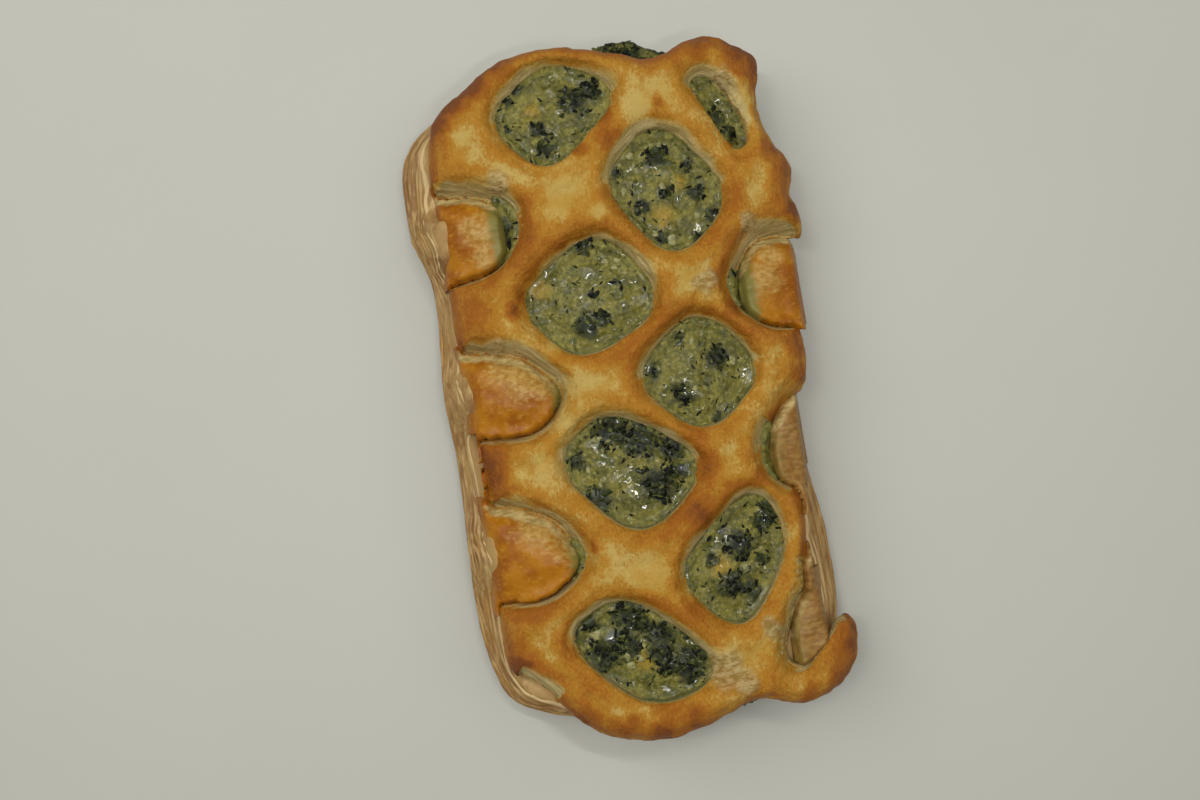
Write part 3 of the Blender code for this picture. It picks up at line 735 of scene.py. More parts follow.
parts = []
for (x_low, x_high, y_low, y_high), edge, swell in PILLOWS:
    along = np.arange(y_low - 3.0 * PILLOW_HEM, y_high + 3.0 * PILLOW_HEM, PILLOW_CELL)
    x, y = np.meshgrid(np.arange(x_low, x_high, PILLOW_CELL), along, indexing="ij")
    flat = np.column_stack([x.ravel(), y.ravel(), np.full(x.size, PILLOW_PROBE)])
    over = roofs_over(flat, np.ones(len(flat), bool), roof)
    bare = np.isnan(over)
    to_open, to_roof = nearest_in(flat, bare), nearest_in(flat, ~bare)
    hem = np.array([to_open.find((a, b, 0.0))[2] for a, b in flat[:, :2]])
    nearest = [to_roof.find((a, b, 0.0)) for a, b in flat[:, :2]]
    into = np.array([away for place, index, away in nearest])
    rims = np.array([place[:2] for place, index, away in nearest])
    way = (rims - flat[:, :2]) / np.maximum(into, 0.3)[:, None]
    outward = np.sign(edge) * (edge + EDGE_SLANT * flat[:, 1] - flat[:, 0])
    crown = bowl_terms(np.clip(flat[:, 0], -DOME_EDGE, DOME_EDGE), flat[:, 1]) @ crest_shape - PILLOW_SINK
    rise = swell * soft_step(np.minimum(into, 1.5 * outward), *SWELL_RAMP)
    rim_height = crown.copy()
    for i, (place, index, away) in enumerate(nearest):
        hit = seen_from_above(roof, place[0] + RIM_LOOK * way[i, 0], place[1] + RIM_LOOK * way[i, 1])
        if hit is not None:
            rim_height[i] = hit.z / MM
    top = over.copy()
    for i in np.flatnonzero(~bare):
        top[i] = seen_from_above(roof, flat[i, 0], flat[i, 1]).z / MM
    high = soft_step(way[:, 1], 0.1, 0.7)
    rim_height = evened(rim_height.reshape(x.shape), rounds=6).ravel()
    high = evened(high.reshape(x.shape), rounds=4).ravel()
    near_rim = np.exp(-((into / RIM_BLEND) ** 2))
    z = crown + rise - OUTER_ROUNDING * np.exp(-np.clip(outward, 0.0, None))
    z += near_rim * (rim_height - LOW_STEP - (HIGH_STEP - LOW_STEP) * high - z)
    z = np.where(bare, z, np.minimum(z, top - PILLOW_GAP))
    outer_drop = soft_step(-outward, -0.4, 1.2) * OUTER_DROP
    inner = flat[:, 0] - x_low if edge > 0 else x_high - flat[:, 0]
    z -= outer_drop + INNER_DROP * (1.0 - soft_step(inner, 0.0, 1.6))
    field = z.reshape(x.shape)
    beside = ((flat[:, 1] > y_low) & (flat[:, 1] < y_high)) | (outward > 1.2)
    allowed = ((hem < PILLOW_HEM) & (outward > -OUTER_MARGIN) & (beside | ~bare)).reshape(x.shape)
    kept = linked(allowed[:-1, :-1] & allowed[1:, :-1] & allowed[:-1, 1:] & allowed[1:, 1:])
    part = grid_solid("dough_pillow", x, y, field, field - PILLOW_DEPTH, kept)
    marks = {
        "cut": high * (1.0 - soft_step(into, 0.6, 2.6)),
        "damp": (1.0 - soft_step(inner, 1.0, 5.5)) * (1.0 if swell > 0.0 else 0.5),
        "plain": np.full(x.size, float(swell < 0.0)),
    }
    for name, values in marks.items():
        store(part, name, np.tile(values.reshape(x.shape)[corner_of(kept)], 2))
    parts.append(part)
pillows = joined(parts, "dough_pillows")
points = points_of(pillows)
normals = normals_of(pillows)
upward = soft_step(normals[:, 2], 0.2, 0.7)
blister_and_sheen = near_spots(points, BLISTERED_CROWNS_AND_SHEEN, ragged=1.6, seed=41) * upward
points += normals * (upward * PILLOW_RELIEF * crumple(points, 6.0, seed=42, octaves=2))[:, None]
wrinkles = crumple(points * np.array([0.75, 1.2, 1.0]), 1.7, seed=43, octaves=3)
points += normals * (upward * (0.1 + 0.3 * blister_and_sheen) * wrinkles + 0.25 * blister_and_sheen)[:, None]
move_points(pillows, points)
store(pillows, "blister_and_sheen", blister_and_sheen)
bpy.ops.object.shade_smooth()

pillow_finish, shader, shade = new_finish(
    "glazed_dough", Specular_IOR_Level=0.25, Coat_Weight=0.06, Coat_Roughness=0.2,
)
browned = shade.speckle(7.0, detail=4.0, roughness=0.6)
crackle = shade.speckle(1.0, detail=4.0, roughness=0.65, stretch=(0.8, 1.15, 1.0))
fine = shade.speckle(0.6, detail=4.0, roughness=0.65)
gold = shade.tint(*GLAZE_GOLD, browned.between(0.38, 0.6))
gold = shade.tint(gold, GLAZE_CRACKLE, crackle.between(0.52, 0.7) * 0.6)
# Partly painted sheen: the crowns' pale blistered colour also stands in for the highlight on them
pale = shade.tint(*CROWN_PALE_AND_SHEEN, crackle.between(0.35, 0.65))
dough = shade.tint(gold, pale, (shade.stored("blister_and_sheen") + 0.7 * (crackle - 0.5)).between(0.05, 0.95))
layers = shade.speckle(0.9, detail=3.0, roughness=0.6, stretch=(0.25, 1.0, 1.0))
plain = shade.tint(*PLAIN_DOUGH, layers.between(0.4, 0.6))
dough = shade.tint(dough, plain, shade.stored("plain") * 0.8)
damp = (shade.stored("damp") + crackle - 0.5).between(0.2, 0.9)
dough = shade.tint(dough, DAMP_BORDER, damp)
cut = (shade.stored("cut") + 0.5 * (crackle - 0.5)).between(0.15, 0.8)
cut_face = shade.tint(*CUT_FACE, layers.between(0.4, 0.6))
wire(
    shader,
    Base_Color=shade.tint(dough, cut_face, cut),
    Roughness=0.36 + 0.25 * fine,
    Normal=(crackle + 0.5 * fine).bump(strength=0.7, depth=0.16),
)
pillows.data.materials.append(pillow_finish)
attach(pillows, "root")

# Leaves of the flaky sides
# Thin crisp leaves of dough that parted as the sides rose. Each is a closed wavy ribbon right round the
# pastry, rooted in the sheet's side, and its lip stands out unevenly and is browner than its root.
LEAVES = 15
LEAF_STEP = 0.62
LEAF_ROOT = 2.2
LEAF_OUT = 0.6
LEAF_WAVE = 0.55
LEAF_RIPPLE = 0.25
LEAF_CURL = 0.3
LEAF_GRAIN = 0.05
LEAF_THICKNESS = (0.3, 1.3)
LEAF_LOWEST = 0.05
# How far apart the leaves' unevenness is taken, so that no two are alike
LEAF_SHIFT = 31.0
PATH_HALF = (49.0, 80.0)
PATH_CORNER = 26.0
# Heights at which the sheet's side is felt, how far in from the path, and over how many places it is evened
PROBE_START = 0.6
PROBE_STEP = 0.5
PROBE_TOP = 22.0
PROBE_REACH = 22.0
PROBE_EVENED = 9
# Over how many places to each side the top of the side is brought down to the lowest
TOP_LOWERED = 6
# A leaf's outline across: how far out, from its root to its lip, and how far up in shares of its thickness
LEAF_PROFILE = ((-1.0, 0.5), (0.35, 0.5), (0.8, 0.36), (1.0, 0.0), (0.8, -0.36), (0.35, -0.5), (-1.0, -0.5))
LEAF_TAN = ((178, 146, 90), (136, 96, 48))
LEAF_GOLD = (166, 118, 44)
LIP_BROWN = (112, 68, 34)
TOP_LEAF_PALE = (206, 180, 128)


def side_path(half, corner, spacing):
    """Points evenly along a rounded rectangle round the pastry, with the way in from each."""
    straight = (2 * (half[1] - corner), 2 * (half[0] - corner))
    arc = 0.5 * math.pi * corner
    lengths = (straight[0], arc, straight[1], arc) * 2
    total = sum(lengths)
    starts = np.concatenate([[0.0], np.cumsum(lengths)[:-1]])
    found = []
    for distance in np.arange(0.0, total, total / round(total / spacing)):
        leg = int(np.searchsorted(starts, distance, side="right")) - 1
        gone = distance - starts[leg]
        quarter = leg // 2
        turn = angle = -0.5 * math.pi * quarter
        if leg % 2:
            angle = turn - gone / corner
            gone = lengths[leg - 1]
        side = half[::-1] if quarter % 2 else half
        local = np.array([side[0] - corner, (side[1] - corner) - gone])
        cos, sin = math.cos(turn), math.sin(turn)
        middle = np.array([cos * local[0] - sin * local[1], sin * local[0] + cos * local[1]])
        out = np.array([math.cos(angle), math.sin(angle)])
        found.append(np.concatenate([middle + corner * out, -out]))
    return np.array(found)


def evened_round(values):
    """Values along the closed path, each drawn to the mean of its neighbours."""
    reach_out = PROBE_EVENED // 2
    wrapped = np.concatenate([values[-reach_out:], values, values[:reach_out]])
    return np.convolve(wrapped, np.ones(PROBE_EVENED) / PROBE_EVENED, "valid")


def face_outward():
    """Turns all faces of the active piece to its outer side."""
    bpy.ops.object.mode_set(mode="EDIT")
    bpy.ops.mesh.select_all(action="SELECT")
    bpy.ops.mesh.normals_make_consistent(inside=False)
    bpy.ops.object.mode_set(mode="OBJECT")


path = side_path(PATH_HALF, PATH_CORNER, LEAF_STEP)
sheet_skin = skin_of(sheet)
levels = np.arange(PROBE_START, PROBE_TOP, PROBE_STEP)
reach = np.full((len(path), len(levels)), np.nan)
for i, (x, y, in_x, in_y) in enumerate(path):
    for j, z in enumerate(levels):
        hit = sheet_skin.ray_cast(Vector((x, y, z)) * MM, Vector((in_x, in_y, 0.0)), PROBE_REACH * MM)
        if hit[0] is not None:
            reach[i, j] = hit[3] / MM
flank_top = np.array([levels[np.flatnonzero(~np.isnan(row))[-1]] for row in reach])
for i, row in enumerate(reach):
    known = ~np.isnan(row)
    reach[i] = np.interp(levels, levels[known], row[known])
flank_top = np.min([np.roll(flank_top, k) for k in range(-TOP_LOWERED, TOP_LOWERED + 1)], axis=0)
flank_top = evened_round(flank_top)
for j, column in enumerate(reach.T.copy()):
    reach[:, j] = np.minimum(evened_round(column), column + 0.4)
verts, faces, lips, heights = [], [], [], []
for leaf in range(LEAVES):
    level = (leaf + 0.55) / LEAVES
    spots = np.column_stack([path[:, 0], path[:, 1], np.full(len(path), LEAF_SHIFT * leaf)])
    wave = LEAF_WAVE * crumple(spots, 24.0, seed=5, octaves=2)
    wave += LEAF_RIPPLE * crumple(spots, 6.0, seed=6, octaves=2)
    height = flank_top * level + wave * np.minimum(flank_top / 14.0, 1.0)
    height = np.clip(height, 0.5, flank_top - 0.4)
    out = LEAF_OUT * np.clip(0.5 + 0.7 * crumple(spots, 19.0, seed=7, octaves=3), -0.3, 1.0)
    curl = LEAF_CURL * crumple(spots, 16.0, seed=8, octaves=2)
    thick = np.clip(flank_top / LEAVES, *LEAF_THICKNESS)
    thick *= 0.55 + 0.25 * crumple(spots, 21.0, seed=9, octaves=2)
    first = len(verts)
    for i in range(len(path)):
        away = np.interp(height[i], levels, reach[i])
        for share, rise in LEAF_PROFILE:
            step = away - out[i] * share if share > 0 else away + LEAF_ROOT
            z = height[i] + thick[i] * rise + (curl[i] * share if share > 0 else 0.0)
            x, y = path[i, 0] + path[i, 2] * step, path[i, 1] + path[i, 3] * step
            verts.append((x, y, max(z, LEAF_LOWEST)))
            lips.append(max(share, 0.0))
            heights.append(level)
    count = len(LEAF_PROFILE)
    for i in range(len(path)):
        j = (i + 1) % len(path)
        for k in range(count):
            n = (k + 1) % count
            a, b = first + i * count, first + j * count
            faces.append((a + k, b + k, b + n, a + n))
leaves = new_piece("pastry_leaves", [tuple(c * MM for c in v) for v in verts], faces)
face_outward()
points = points_of(leaves)
points += normals_of(leaves) * (LEAF_GRAIN * crumple(points, 1.6, seed=10, octaves=2))[:, None]
move_points(leaves, points)
store(leaves, "lip", lips)
store(leaves, "height", heights)
bpy.ops.object.shade_smooth()

leaf_finish, shader, shade = new_finish(
    "flaky_leaves", Subsurface_Weight=0.08, Subsurface_Scale=0.5 * MM, Specular_IOR_Level=0.35,
)
streaks = shade.speckle(2.2, detail=3.0, roughness=0.6, stretch=(0.35, 0.35, 1.6))
leaf_colour = shade.tint(*LEAF_TAN, streaks.between(0.38, 0.66))
blotch = shade.speckle(11.0, detail=3.0)
leaf_colour = shade.tint(leaf_colour, LEAF_GOLD, blotch.between(0.5, 0.75) * 0.8)
at_lip = shade.stored("lip").between(0.7, 1.0)
leaf_colour = shade.tint(leaf_colour, LIP_BROWN, at_lip * 0.35)
topmost = shade.stored("height").between(0.86, 0.97)
leaf_colour = shade.tint(leaf_colour, TOP_LEAF_PALE, topmost * 0.8)
wire(
    shader,
    Base_Color=leaf_colour,
    Roughness=0.5 + 0.15 * streaks,
    Normal=shade.speckle(0.5).bump(strength=0.4, depth=0.08),
)
leaves.data.materials.append(leaf_finish)
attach(leaves, "root")

# Spinach and feta filling
# Chopped spinach set in a pale savoury custard of egg and crumbled cheese. It was spooned on as a thick
# roll before baking, swelled up into the windows and set there, wet and lumpy, against their walls.
FILLING_CELL = 0.5
FILLING_SMOOTHING = 4
# Height of the filling over the crust's underside: at a window's walls and in its middle
MENISCUS = 4.9
FILLED = 3.1
MENISCUS_WIDTH = 1.1
UNDER_CRUST = 2.0
# How unevenly the filling reaches its edge, and the share of the way that its top is brought to its level
SPILL = 0.8
FILLED_SHARE = 0.65
# Lumps of the filling: height, width, seed and octaves
LUMPS = ((0.35, 5.0, 31, 3), (0.22, 1.5, 32, 3))
CLUMP_HEIGHT = 0.35
SIDE_SWELL = 0.4
# Where along the pastry its leafy ends begin and are full, and how far from a window's wall is counted
END_ZONE = (62.0, 66.0)
WALL_BAND = 3.0
CUSTARD = ((124, 116, 44), (78, 77, 19))
CURD_PALE = (167, 158, 90)
SHRED_GREEN = (62, 68, 24)
CLUMP_STAIN = (64, 68, 30)
EGG_YELLOW = (164, 132, 34)
LEAF_GREENS = ((12, 16, 10), (50, 56, 20))
# Painted shade at the foot of each window's high wall: darker olive greens where the strand above shades the
# filling
WALL_SHADE_GREENS = ((118, 114, 58), (92, 92, 38))
# Clumps of dark leaf near the surface: x, y, radius
CLUMPS = (
    (-1.4, 61.4, 2.9), (2.6, 63.2, 1.9), (-14.5, 63.6, 1.0), (-15.2, 58.6, 0.8), (-8.1, 52.8, 1.8),
    (13.6, 47.2, 2.3), (19.8, 44.8, 1.2), (14.6, 39.7, 1.4), (23.3, 33.8, 1.6), (4.7, 44.9, 1.4),
    (19.7, 29.7, 1.2), (-4.4, 32.0, 1.8), (-6.6, 15.7, 2.2), (-3.0, 16.3, 1.6), (-3.7, 21.5, 0.8),
    (1.3, 23.1, 0.8), (18.9, 4.7, 2.4), (5.4, 3.5, 1.2), (10.1, -0.9, 1.6), (10.9, -2.2, 1.8),
    (11.9, 9.6, 1.0), (17.2, -7.9, 1.2), (-5.3, -6.9, 3.3), (0.5, -9.2, 3.7), (6.6, -12.3, 2.5),
    (-12.8, -11.9, 1.8), (2.4, -19.1, 3.7), (-9.7, -20.1, 2.5), (7.5, -17.0, 1.6), (23.8, -29.8, 1.4),
    (23.6, -27.1, 1.2), (14.4, -42.1, 2.7), (14.0, -31.0, 0.8), (21.5, -38.2, 1.2), (-8.1, -44.9, 3.3),
    (-14.7, -51.9, 2.9), (3.5, -56.0, 3.1), (-1.6, -56.4, 2.0), (-19.9, -47.2, 1.2), (-5.0, -47.1, 2.0),
    (-19.4, 37.9, 1.4), (-20.2, 35.5, 1.2), (27.7, 54.3, 1.4), (29.6, 50.8, 1.4), (12.0, 69.0, 2.5),
    (8.4, 70.1, 1.6), (15.5, 67.6, 1.4), (14.2, -64.9, 1.4), (17.1, -34.4, 3.0), (23.0, -30.2, 2.2),
    (18.0, -44.0, 1.8), (10.9, -36.4, 1.3), (-2.8, -52.9, 2.4), (-10.6, -49.5, 2.2), (2.5, -58.4, 2.6),
    (-9.0, -51.0, 2.6), (4.6, -49.6, 2.4), (8.0, -53.4, 2.0), (-16.0, -45.0, 1.8), (-2.0, -49.8, 2.6),
    (-12.6, 66.4, 1.6), (-9.4, 57.0, 1.4), (20.6, 38.6, 1.6), (9.0, 37.4, 1.4), (12.0, 30.6, 1.4),
)
# Yellow patches of cheese and egg: x, y, radius
YELLOW = (
    (-14.5, 24.2, 2.2), (-8.8, 31.9, 1.2), (17.6, 41.5, 1.4), (12.4, -37.8, 2.2), (-6.0, -54.4, 2.2),
    (13.3, 34.9, 2.6), (-10.2, 60.8, 1.8),
)
# Pools of cooking liquid, smooth and shining: x, y, radius
POOLS = (
    (-2.4, -20.7, 2.4), (-4.9, -16.7, 1.8), (-0.9, -24.1, 1.7), (25.2, -0.3, 1.9), (-5.3, 64.6, 1.3),
    (-4.6, 60.3, 1.5), (14.2, -31.3, 1.3), (-9.5, -9.6, 1.6), (8.2, -17.3, 1.5), (5.4, 18.8, 2.0),
    (14.7, 44.4, 1.4), (-12.6, -49.3, 1.5), (1.2, -59.6, 1.5), (20.4, 31.6, 1.5), (-6.4, 12.8, 1.7),
    (13.8, -2.4, 1.4), (20.4, -45.0, 1.3),
)
POOL_SWELL = 0.42

filling, points, normals = dense_copy("filling", "spinach_filling", FILLING_CELL, FILLING_SMOOTHING)
upper = normals[:, 2] > 0.3
roof_height = roofs_over(points, upper, roof)
open_above = upper & np.isnan(roof_height)
roofed = nearest_in(points, upper & ~open_above)
opened = nearest_in(points, open_above)
aside = (1.0 - soft_step(np.abs(normals[:, 2]), 0.4, 0.8)) * soft_step(points[:, 2], 9.0, 12.0)
points += normals * (SIDE_SWELL * aside)[:, None]
spill = SPILL * crumple(points, 5.0, seed=39, octaves=2)
lumps = sum(height * crumple(points, size, seed, octaves) for height, size, seed, octaves in LUMPS)
clump = near_spots(points, CLUMPS, ragged=0.9, seed=33)
ends = soft_step(np.abs(points[:, 1]), *END_ZONE) * (1.0 - soft_step(normals[:, 2], 0.3, 0.8))
clump = np.maximum(clump, ends * soft_step(crumple(points, 4.5, seed=44, octaves=3), -0.1, 0.45))
target = points[:, 2].copy()
in_window = np.zeros(len(points))
upper_wall = np.zeros(len(points))
for i in np.flatnonzero(upper):
    x, y, z = points[i]
    if open_above[i]:
        place, index, away = roofed.find((x, y, 0.0))
        wall = roof_height[index]
        rise = FILLED + (MENISCUS + spill[i] - FILLED) * math.exp(-away / MENISCUS_WIDTH)
        in_window[i] = min(away, WALL_BAND)
        upper_wall[i] = (place[1] - y) / max(away, 0.3)
        if wall - 1.5 < z < wall + 6.0 and away < 25.0:
            target[i] = max(z, wall - 0.2 + rise * min(1.0, (z - wall + 4.5) / 4.5))
    else:
        place, index, away = opened.find((x, y, 0.0))
        if away < UNDER_CRUST and points[index, 2] > roof_height[i] - 1.5:
            target[i] = roof_height[i] + MENISCUS - 0.2 + spill[i] * (1.0 - away / UNDER_CRUST)
risen = (1.0 - FILLED_SHARE) * points[:, 2] + FILLED_SHARE * target
points[:, 2] = np.where(upper, risen, points[:, 2])
pool = near_spots(points, POOLS, ragged=0.7, seed=40)
relief = lumps + CLUMP_HEIGHT * clump * (0.6 + crumple(points, 1.2, seed=35, octaves=2))
relief = relief * (1.0 - 0.8 * pool) + POOL_SWELL * pool
relief = np.where(upper, soft_step(in_window, 0.2, 1.5) * relief, (0.3 + 1.3 * ends) * lumps)
points += normals * relief[:, None]
move_points(filling, points)
store(filling, "clump", clump)
store(filling, "pool", pool)
store(filling, "yellow", near_spots(points, YELLOW, ragged=0.8, seed=36))
store(filling, "from_wall", in_window)
store(filling, "upper_wall", soft_step(upper_wall, 0.0, 0.7))
bpy.ops.object.shade_smooth()

filling_finish, shader, shade = new_finish(
    "spinach_feta", Subsurface_Weight=0.06, Subsurface_Scale=0.6 * MM, Specular_IOR_Level=0.3,
    Coat_Roughness=0.03,
)
mottle = shade.speckle(3.4, detail=4.0, roughness=0.62)
curds = shade.speckle(0.9, detail=3.0, roughness=0.6)
leaf_bits = shade.speckle(1.9, detail=5.0, roughness=0.7, stretch=(1.0, 1.3, 1.0))
shreds = shade.speckle(0.9, detail=4.0, roughness=0.7, stretch=(1.3, 0.8, 1.0))
custard = shade.tint(*CUSTARD, mottle.between(0.33, 0.62))
curdled = (curds + 0.5 * (shreds - 0.5)).between(0.42, 0.78)
custard = shade.tint(custard, CURD_PALE, curdled * 0.75)
custard = shade.tint(custard, SHRED_GREEN, shreds.between(0.42, 0.76) * 0.7)
stained = (shade.stored("clump") + mottle - 0.5).between(0.0, 0.7)
custard = shade.tint(custard, CLUMP_STAIN, stained * 0.7)
custard = shade.tint(custard, EGG_YELLOW, shade.stored("yellow") * 0.7)
greens = shade.tint(*LEAF_GREENS, leaf_bits.between(0.36, 0.64))
leafy = shade.stored("clump") * 1.15 + (leaf_bits - 0.5) * 2.2 + (shreds - 0.5) * 1.5
mix = shade.tint(custard, greens, leafy.between(-0.1, 0.85))
near_wall = shade.stored("from_wall") + 2.4 * (curds - 0.5) + 1.6 * (shreds - 0.5)
# Painted shade: near the foot of each window's high wall the filling turns to these darker greens
high_wall_shade = shade.tint(*WALL_SHADE_GREENS, mottle.between(0.4, 0.6))
mix = shade.tint(mix, high_wall_shade, (1.0 - near_wall.between(-0.2, 0.9)) * shade.stored("upper_wall"))
wire(
    shader,
    Base_Color=mix,
    Roughness=0.5 + 0.2 * curds,
    Coat_Weight=0.05 + 0.5 * mottle.between(0.5, 0.62) + shade.stored("pool"),
    Normal=(curds + leaf_bits + 0.6 * shade.speckle(0.35)).bump(strength=0.8, depth=0.2),
)
filling.data.materials.append(filling_finish)
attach(filling, "root")
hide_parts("filling")

# Scraps of spinach leaf
# Wilted leaf, chopped before it was stirred in: thin dark wavy scraps that lie in clumps on the filling and
# poke out of it at both ends, with small shreds strewn between them. They were baked in where they lie.
SCRAP_THICK = 0.14
SCRAP_STEPS = (5, 3)
SCRAPS_PER_AREA = 1.5
SCRAPS_SPREAD = 1.2
# How ragged a scrap's outline is, how far it curls in shares of its length, and how much it leans
SCRAP_RAGGED = 0.5
SCRAP_CURL = 0.3
SCRAP_LEAN = 0.2
# How far along its half length the last row of points lies, where its outline has nearly closed
SCRAP_END = 0.96
SHREDS = 1500
END_SCRAPS = 700
# Least and greatest x and y of what is strewn over the filling, and of what is thrown at its ends
SHRED_FIELD = ((-22.0, 33.0), (-68.0, 70.0))
END_FIELD = ((-34.0, 34.0), (2.0, 24.0))
END_START = 90.0
# A scrap is embedded, or stands out, by up to this much
SCRAP_LEVEL = (-0.12, 0.05)
# A scrap of more area than this, in square millimetres, is large and mostly dark
LARGE_SCRAP = 0.12
SCRAP_GREENS = ((8, 12, 8), (52, 58, 24))
SCRAP_PALE = (96, 98, 48)
VEIN_GREEN = (70, 76, 34)
# Loose leaf at the ends of the pastry: x, y, radius
END_LEAVES = ((5.6, 71.2, 3.2), (10.8, 70.2, 3.4), (0.4, 71.6, 1.6), (22.6, -66.2, 2.4))


def scrap(place, normal, length, width, chance):
    """The points of a wavy scrap of leaf that lies on a surface, its upper side first."""
    side = normal.orthogonal().normalized()
    side.rotate(Quaternion(normal, chance.uniform(0.0, 2.0 * math.pi)))
    lean = Quaternion(side, chance.gauss(0.0, SCRAP_LEAN))
    along = lean @ normal.cross(side)
    up = lean @ normal
    wave = Vector((chance.uniform(0, 90), chance.uniform(0, 90), chance.uniform(0, 90)))
    found = []
    for level in (0.5, -0.5):
        for i in range(SCRAP_STEPS[0]):
            u = (i / (SCRAP_STEPS[0] - 1) * 2.0 - 1.0) * SCRAP_END
            ragged = 1.0 + SCRAP_RAGGED * noise.noise(wave + Vector((u * 2.2, 0.0, 0.0)))
            half = width * math.sqrt(1.0 - u * u) * ragged
            for j in range(SCRAP_STEPS[1]):
                v = j / (SCRAP_STEPS[1] - 1) * 2.0 - 1.0
                swell = noise.noise(wave + Vector((u * 1.5, v * 1.5, 3.0)))
                curve = length * SCRAP_CURL * swell + SCRAP_THICK * level
                found.append(place + along * (u * length) + side * (v * half) + up * curve)
    return found


chance = random.Random(7)
ground = skin_of(filling)
spots = []
for x, y, radius in CLUMPS + END_LEAVES:
    for _ in range(max(2, round(SCRAPS_PER_AREA * math.pi * radius**2))):
        angle = chance.uniform(0.0, 2.0 * math.pi)
        away = radius * SCRAPS_SPREAD * math.sqrt(chance.random())
        size = chance.uniform(0.4, 1.2)
        width = size * chance.uniform(0.25, 0.6)
        spots.append((x + away * math.cos(angle), y + away * math.sin(angle), size, width))
for _ in range(SHREDS):
    size = chance.uniform(0.25, 1.0)
    x, y = chance.uniform(*SHRED_FIELD[0]), chance.uniform(*SHRED_FIELD[1])
    spots.append((x, y, size, size * chance.uniform(0.12, 0.4)))
throws = [(Vector((x, y, ABOVE)), DOWN, length, width) for x, y, length, width in spots]
for _ in range(END_SCRAPS):
    side = chance.choice((-1.0, 1.0))
    start = Vector((chance.uniform(*END_FIELD[0]), END_START * side, chance.uniform(*END_FIELD[1])))
    size = chance.uniform(0.3, 1.2)
    throws.append((start, Vector((0.0, -side, 0.0)), size, size * chance.uniform(0.25, 0.6)))
covers = [skin_of(piece) for piece in (lattice, sheet, leaves)]
verts, faces, tones = [], [], []
rows, columns = SCRAP_STEPS
for start, way, length, width in throws:
    hit, normal, index, away = ground.ray_cast(start * MM, way)
    if hit is None or any(cover.ray_cast(start * MM, way, away)[0] is not None for cover in covers):
        continue
    x, y, z = hit / MM
    if any(math.hypot(x - pool_x, y - pool_y) < pool_radius for pool_x, pool_y, pool_radius in POOLS):
        continue
    first = len(verts)
    place = hit / MM + normal * chance.uniform(*SCRAP_LEVEL)
    verts.extend(scrap(place, normal, length, width, chance))
    tones += [chance.random() ** (1.6 if length * width > LARGE_SCRAP else 0.7)] * (2 * rows * columns)
    top = [[first + i * columns + j for j in range(columns)] for i in range(rows)]
    low = [[k + rows * columns for k in row] for row in top]
    for i in range(rows - 1):
        for j in range(columns - 1):
            faces.append((top[i][j], top[i + 1][j], top[i + 1][j + 1], top[i][j + 1]))
            faces.append((low[i][j], low[i][j + 1], low[i + 1][j + 1], low[i + 1][j]))
    border = [top[i][0] for i in range(rows)] + [top[-1][j] for j in range(1, columns)]
    border += [top[i][-1] for i in range(rows - 2, -1, -1)] + [top[0][j] for j in range(columns - 2, 0, -1)]
    for a, b in zip(border, border[1:] + border[:1]):
        faces.append((b, a, a + rows * columns, b + rows * columns))
scraps = new_piece("spinach_scraps", [tuple(v * MM) for v in verts], faces)
face_outward()
move_points(scraps, points_of(scraps))
store(scraps, "tone", tones)
bpy.ops.object.shade_smooth()

scrap_finish, shader, shade = new_finish("spinach_leaf", Specular_IOR_Level=0.12, Coat_Roughness=0.05)
veins = shade.speckle(0.6, detail=3.0, roughness=0.6)
depths = shade.speckle(3.0, detail=2.0)
tone = shade.stored("tone") + 0.8 * (depths - 0.5)
leaf_colour = shade.tint(*SCRAP_GREENS, tone.between(0.15, 0.7))
leaf_colour = shade.tint(leaf_colour, SCRAP_PALE, tone.between(0.6, 1.0))
wire(
    shader,
    Base_Color=shade.tint(leaf_colour, VEIN_GREEN, veins.between(0.52, 0.72) * 0.55),
    Roughness=0.5 + 0.2 * veins,
    Coat_Weight=0.03 + 0.4 * depths.between(0.54, 0.62),
    Normal=veins.bump(strength=0.6, depth=0.1),
)
scraps.data.materials.append(scrap_finish)
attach(scraps, "root")

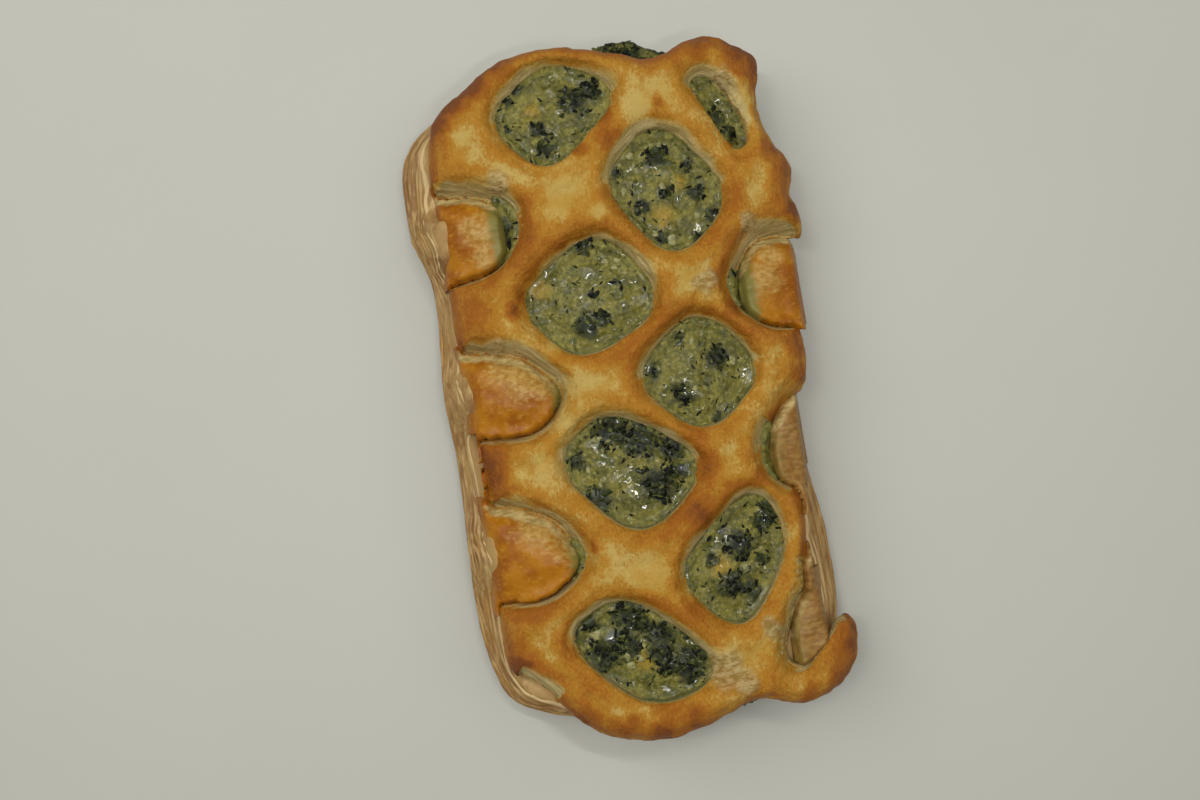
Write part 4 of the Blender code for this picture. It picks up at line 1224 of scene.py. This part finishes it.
# Crumbs of feta
# White sheep's cheese, crumbled into the custard. The crumbs that lie at the surface stand out of it as
# small soft pale lumps, rounded as they melted a little in the oven, and are baked in where they lie.
CRUMBS = 120
CRUMB_FIELD = ((-22.0, 33.0), (-66.0, 68.0))
CRUMB_BUMPS = 0.6
CRUMB_SINK = 0.2
CRUMB_FLATNESS = 0.45
CRUMB_STRETCH = (0.7, 1.5)
CRUMB_SUBDIVISIONS = 3
CRUMB_COLOURS = ((150, 146, 96), (112, 112, 60))

crumbs = []
for _ in range(CRUMBS):
    x, y = chance.uniform(*CRUMB_FIELD[0]), chance.uniform(*CRUMB_FIELD[1])
    size = chance.uniform(0.3, 1.0)
    hit, normal, index, away = ground.ray_cast(Vector((x, y, ABOVE)) * MM, DOWN)
    if hit is None or seen_from_above(roof, x, y) is not None:
        continue
    bpy.ops.object.select_all(action="DESELECT")
    bpy.ops.mesh.primitive_ico_sphere_add(
        subdivisions=CRUMB_SUBDIVISIONS, radius=size * MM, location=(0.0, 0.0, 0.0)
    )
    crumb = bpy.context.active_object
    points = points_of(crumb)
    shift = Vector((x, y, 0.0))
    bumps = np.array([noise.fractal(Vector(q) / (1.2 * size) + shift, 1.0, 2.0, 2) for q in points])
    points *= (1.0 + CRUMB_BUMPS * bumps)[:, None]
    points *= np.array([chance.uniform(*CRUMB_STRETCH), chance.uniform(*CRUMB_STRETCH), CRUMB_FLATNESS])
    move_points(crumb, points + np.array(hit / MM) - np.array(normal) * CRUMB_SINK * size)
    crumbs.append(crumb)
cheese = joined(crumbs, "feta_crumbs")
bpy.ops.object.shade_smooth()

cheese_finish, shader, shade = new_finish(
    "feta", Subsurface_Weight=0.15, Subsurface_Scale=0.5 * MM, Specular_IOR_Level=0.3, Coat_Roughness=0.08,
)
stain = shade.speckle(1.1, detail=4.0, roughness=0.6)
wire(
    shader,
    Base_Color=shade.tint(*CRUMB_COLOURS, stain.between(0.4, 0.62)),
    Roughness=0.5 + 0.2 * stain,
    Coat_Weight=0.4 * stain.between(0.4, 0.5),
    Normal=stain.bump(strength=0.5, depth=0.1),
)
cheese.data.materials.append(cheese_finish)
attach(cheese, "root")

bpy.context.view_layer.update()
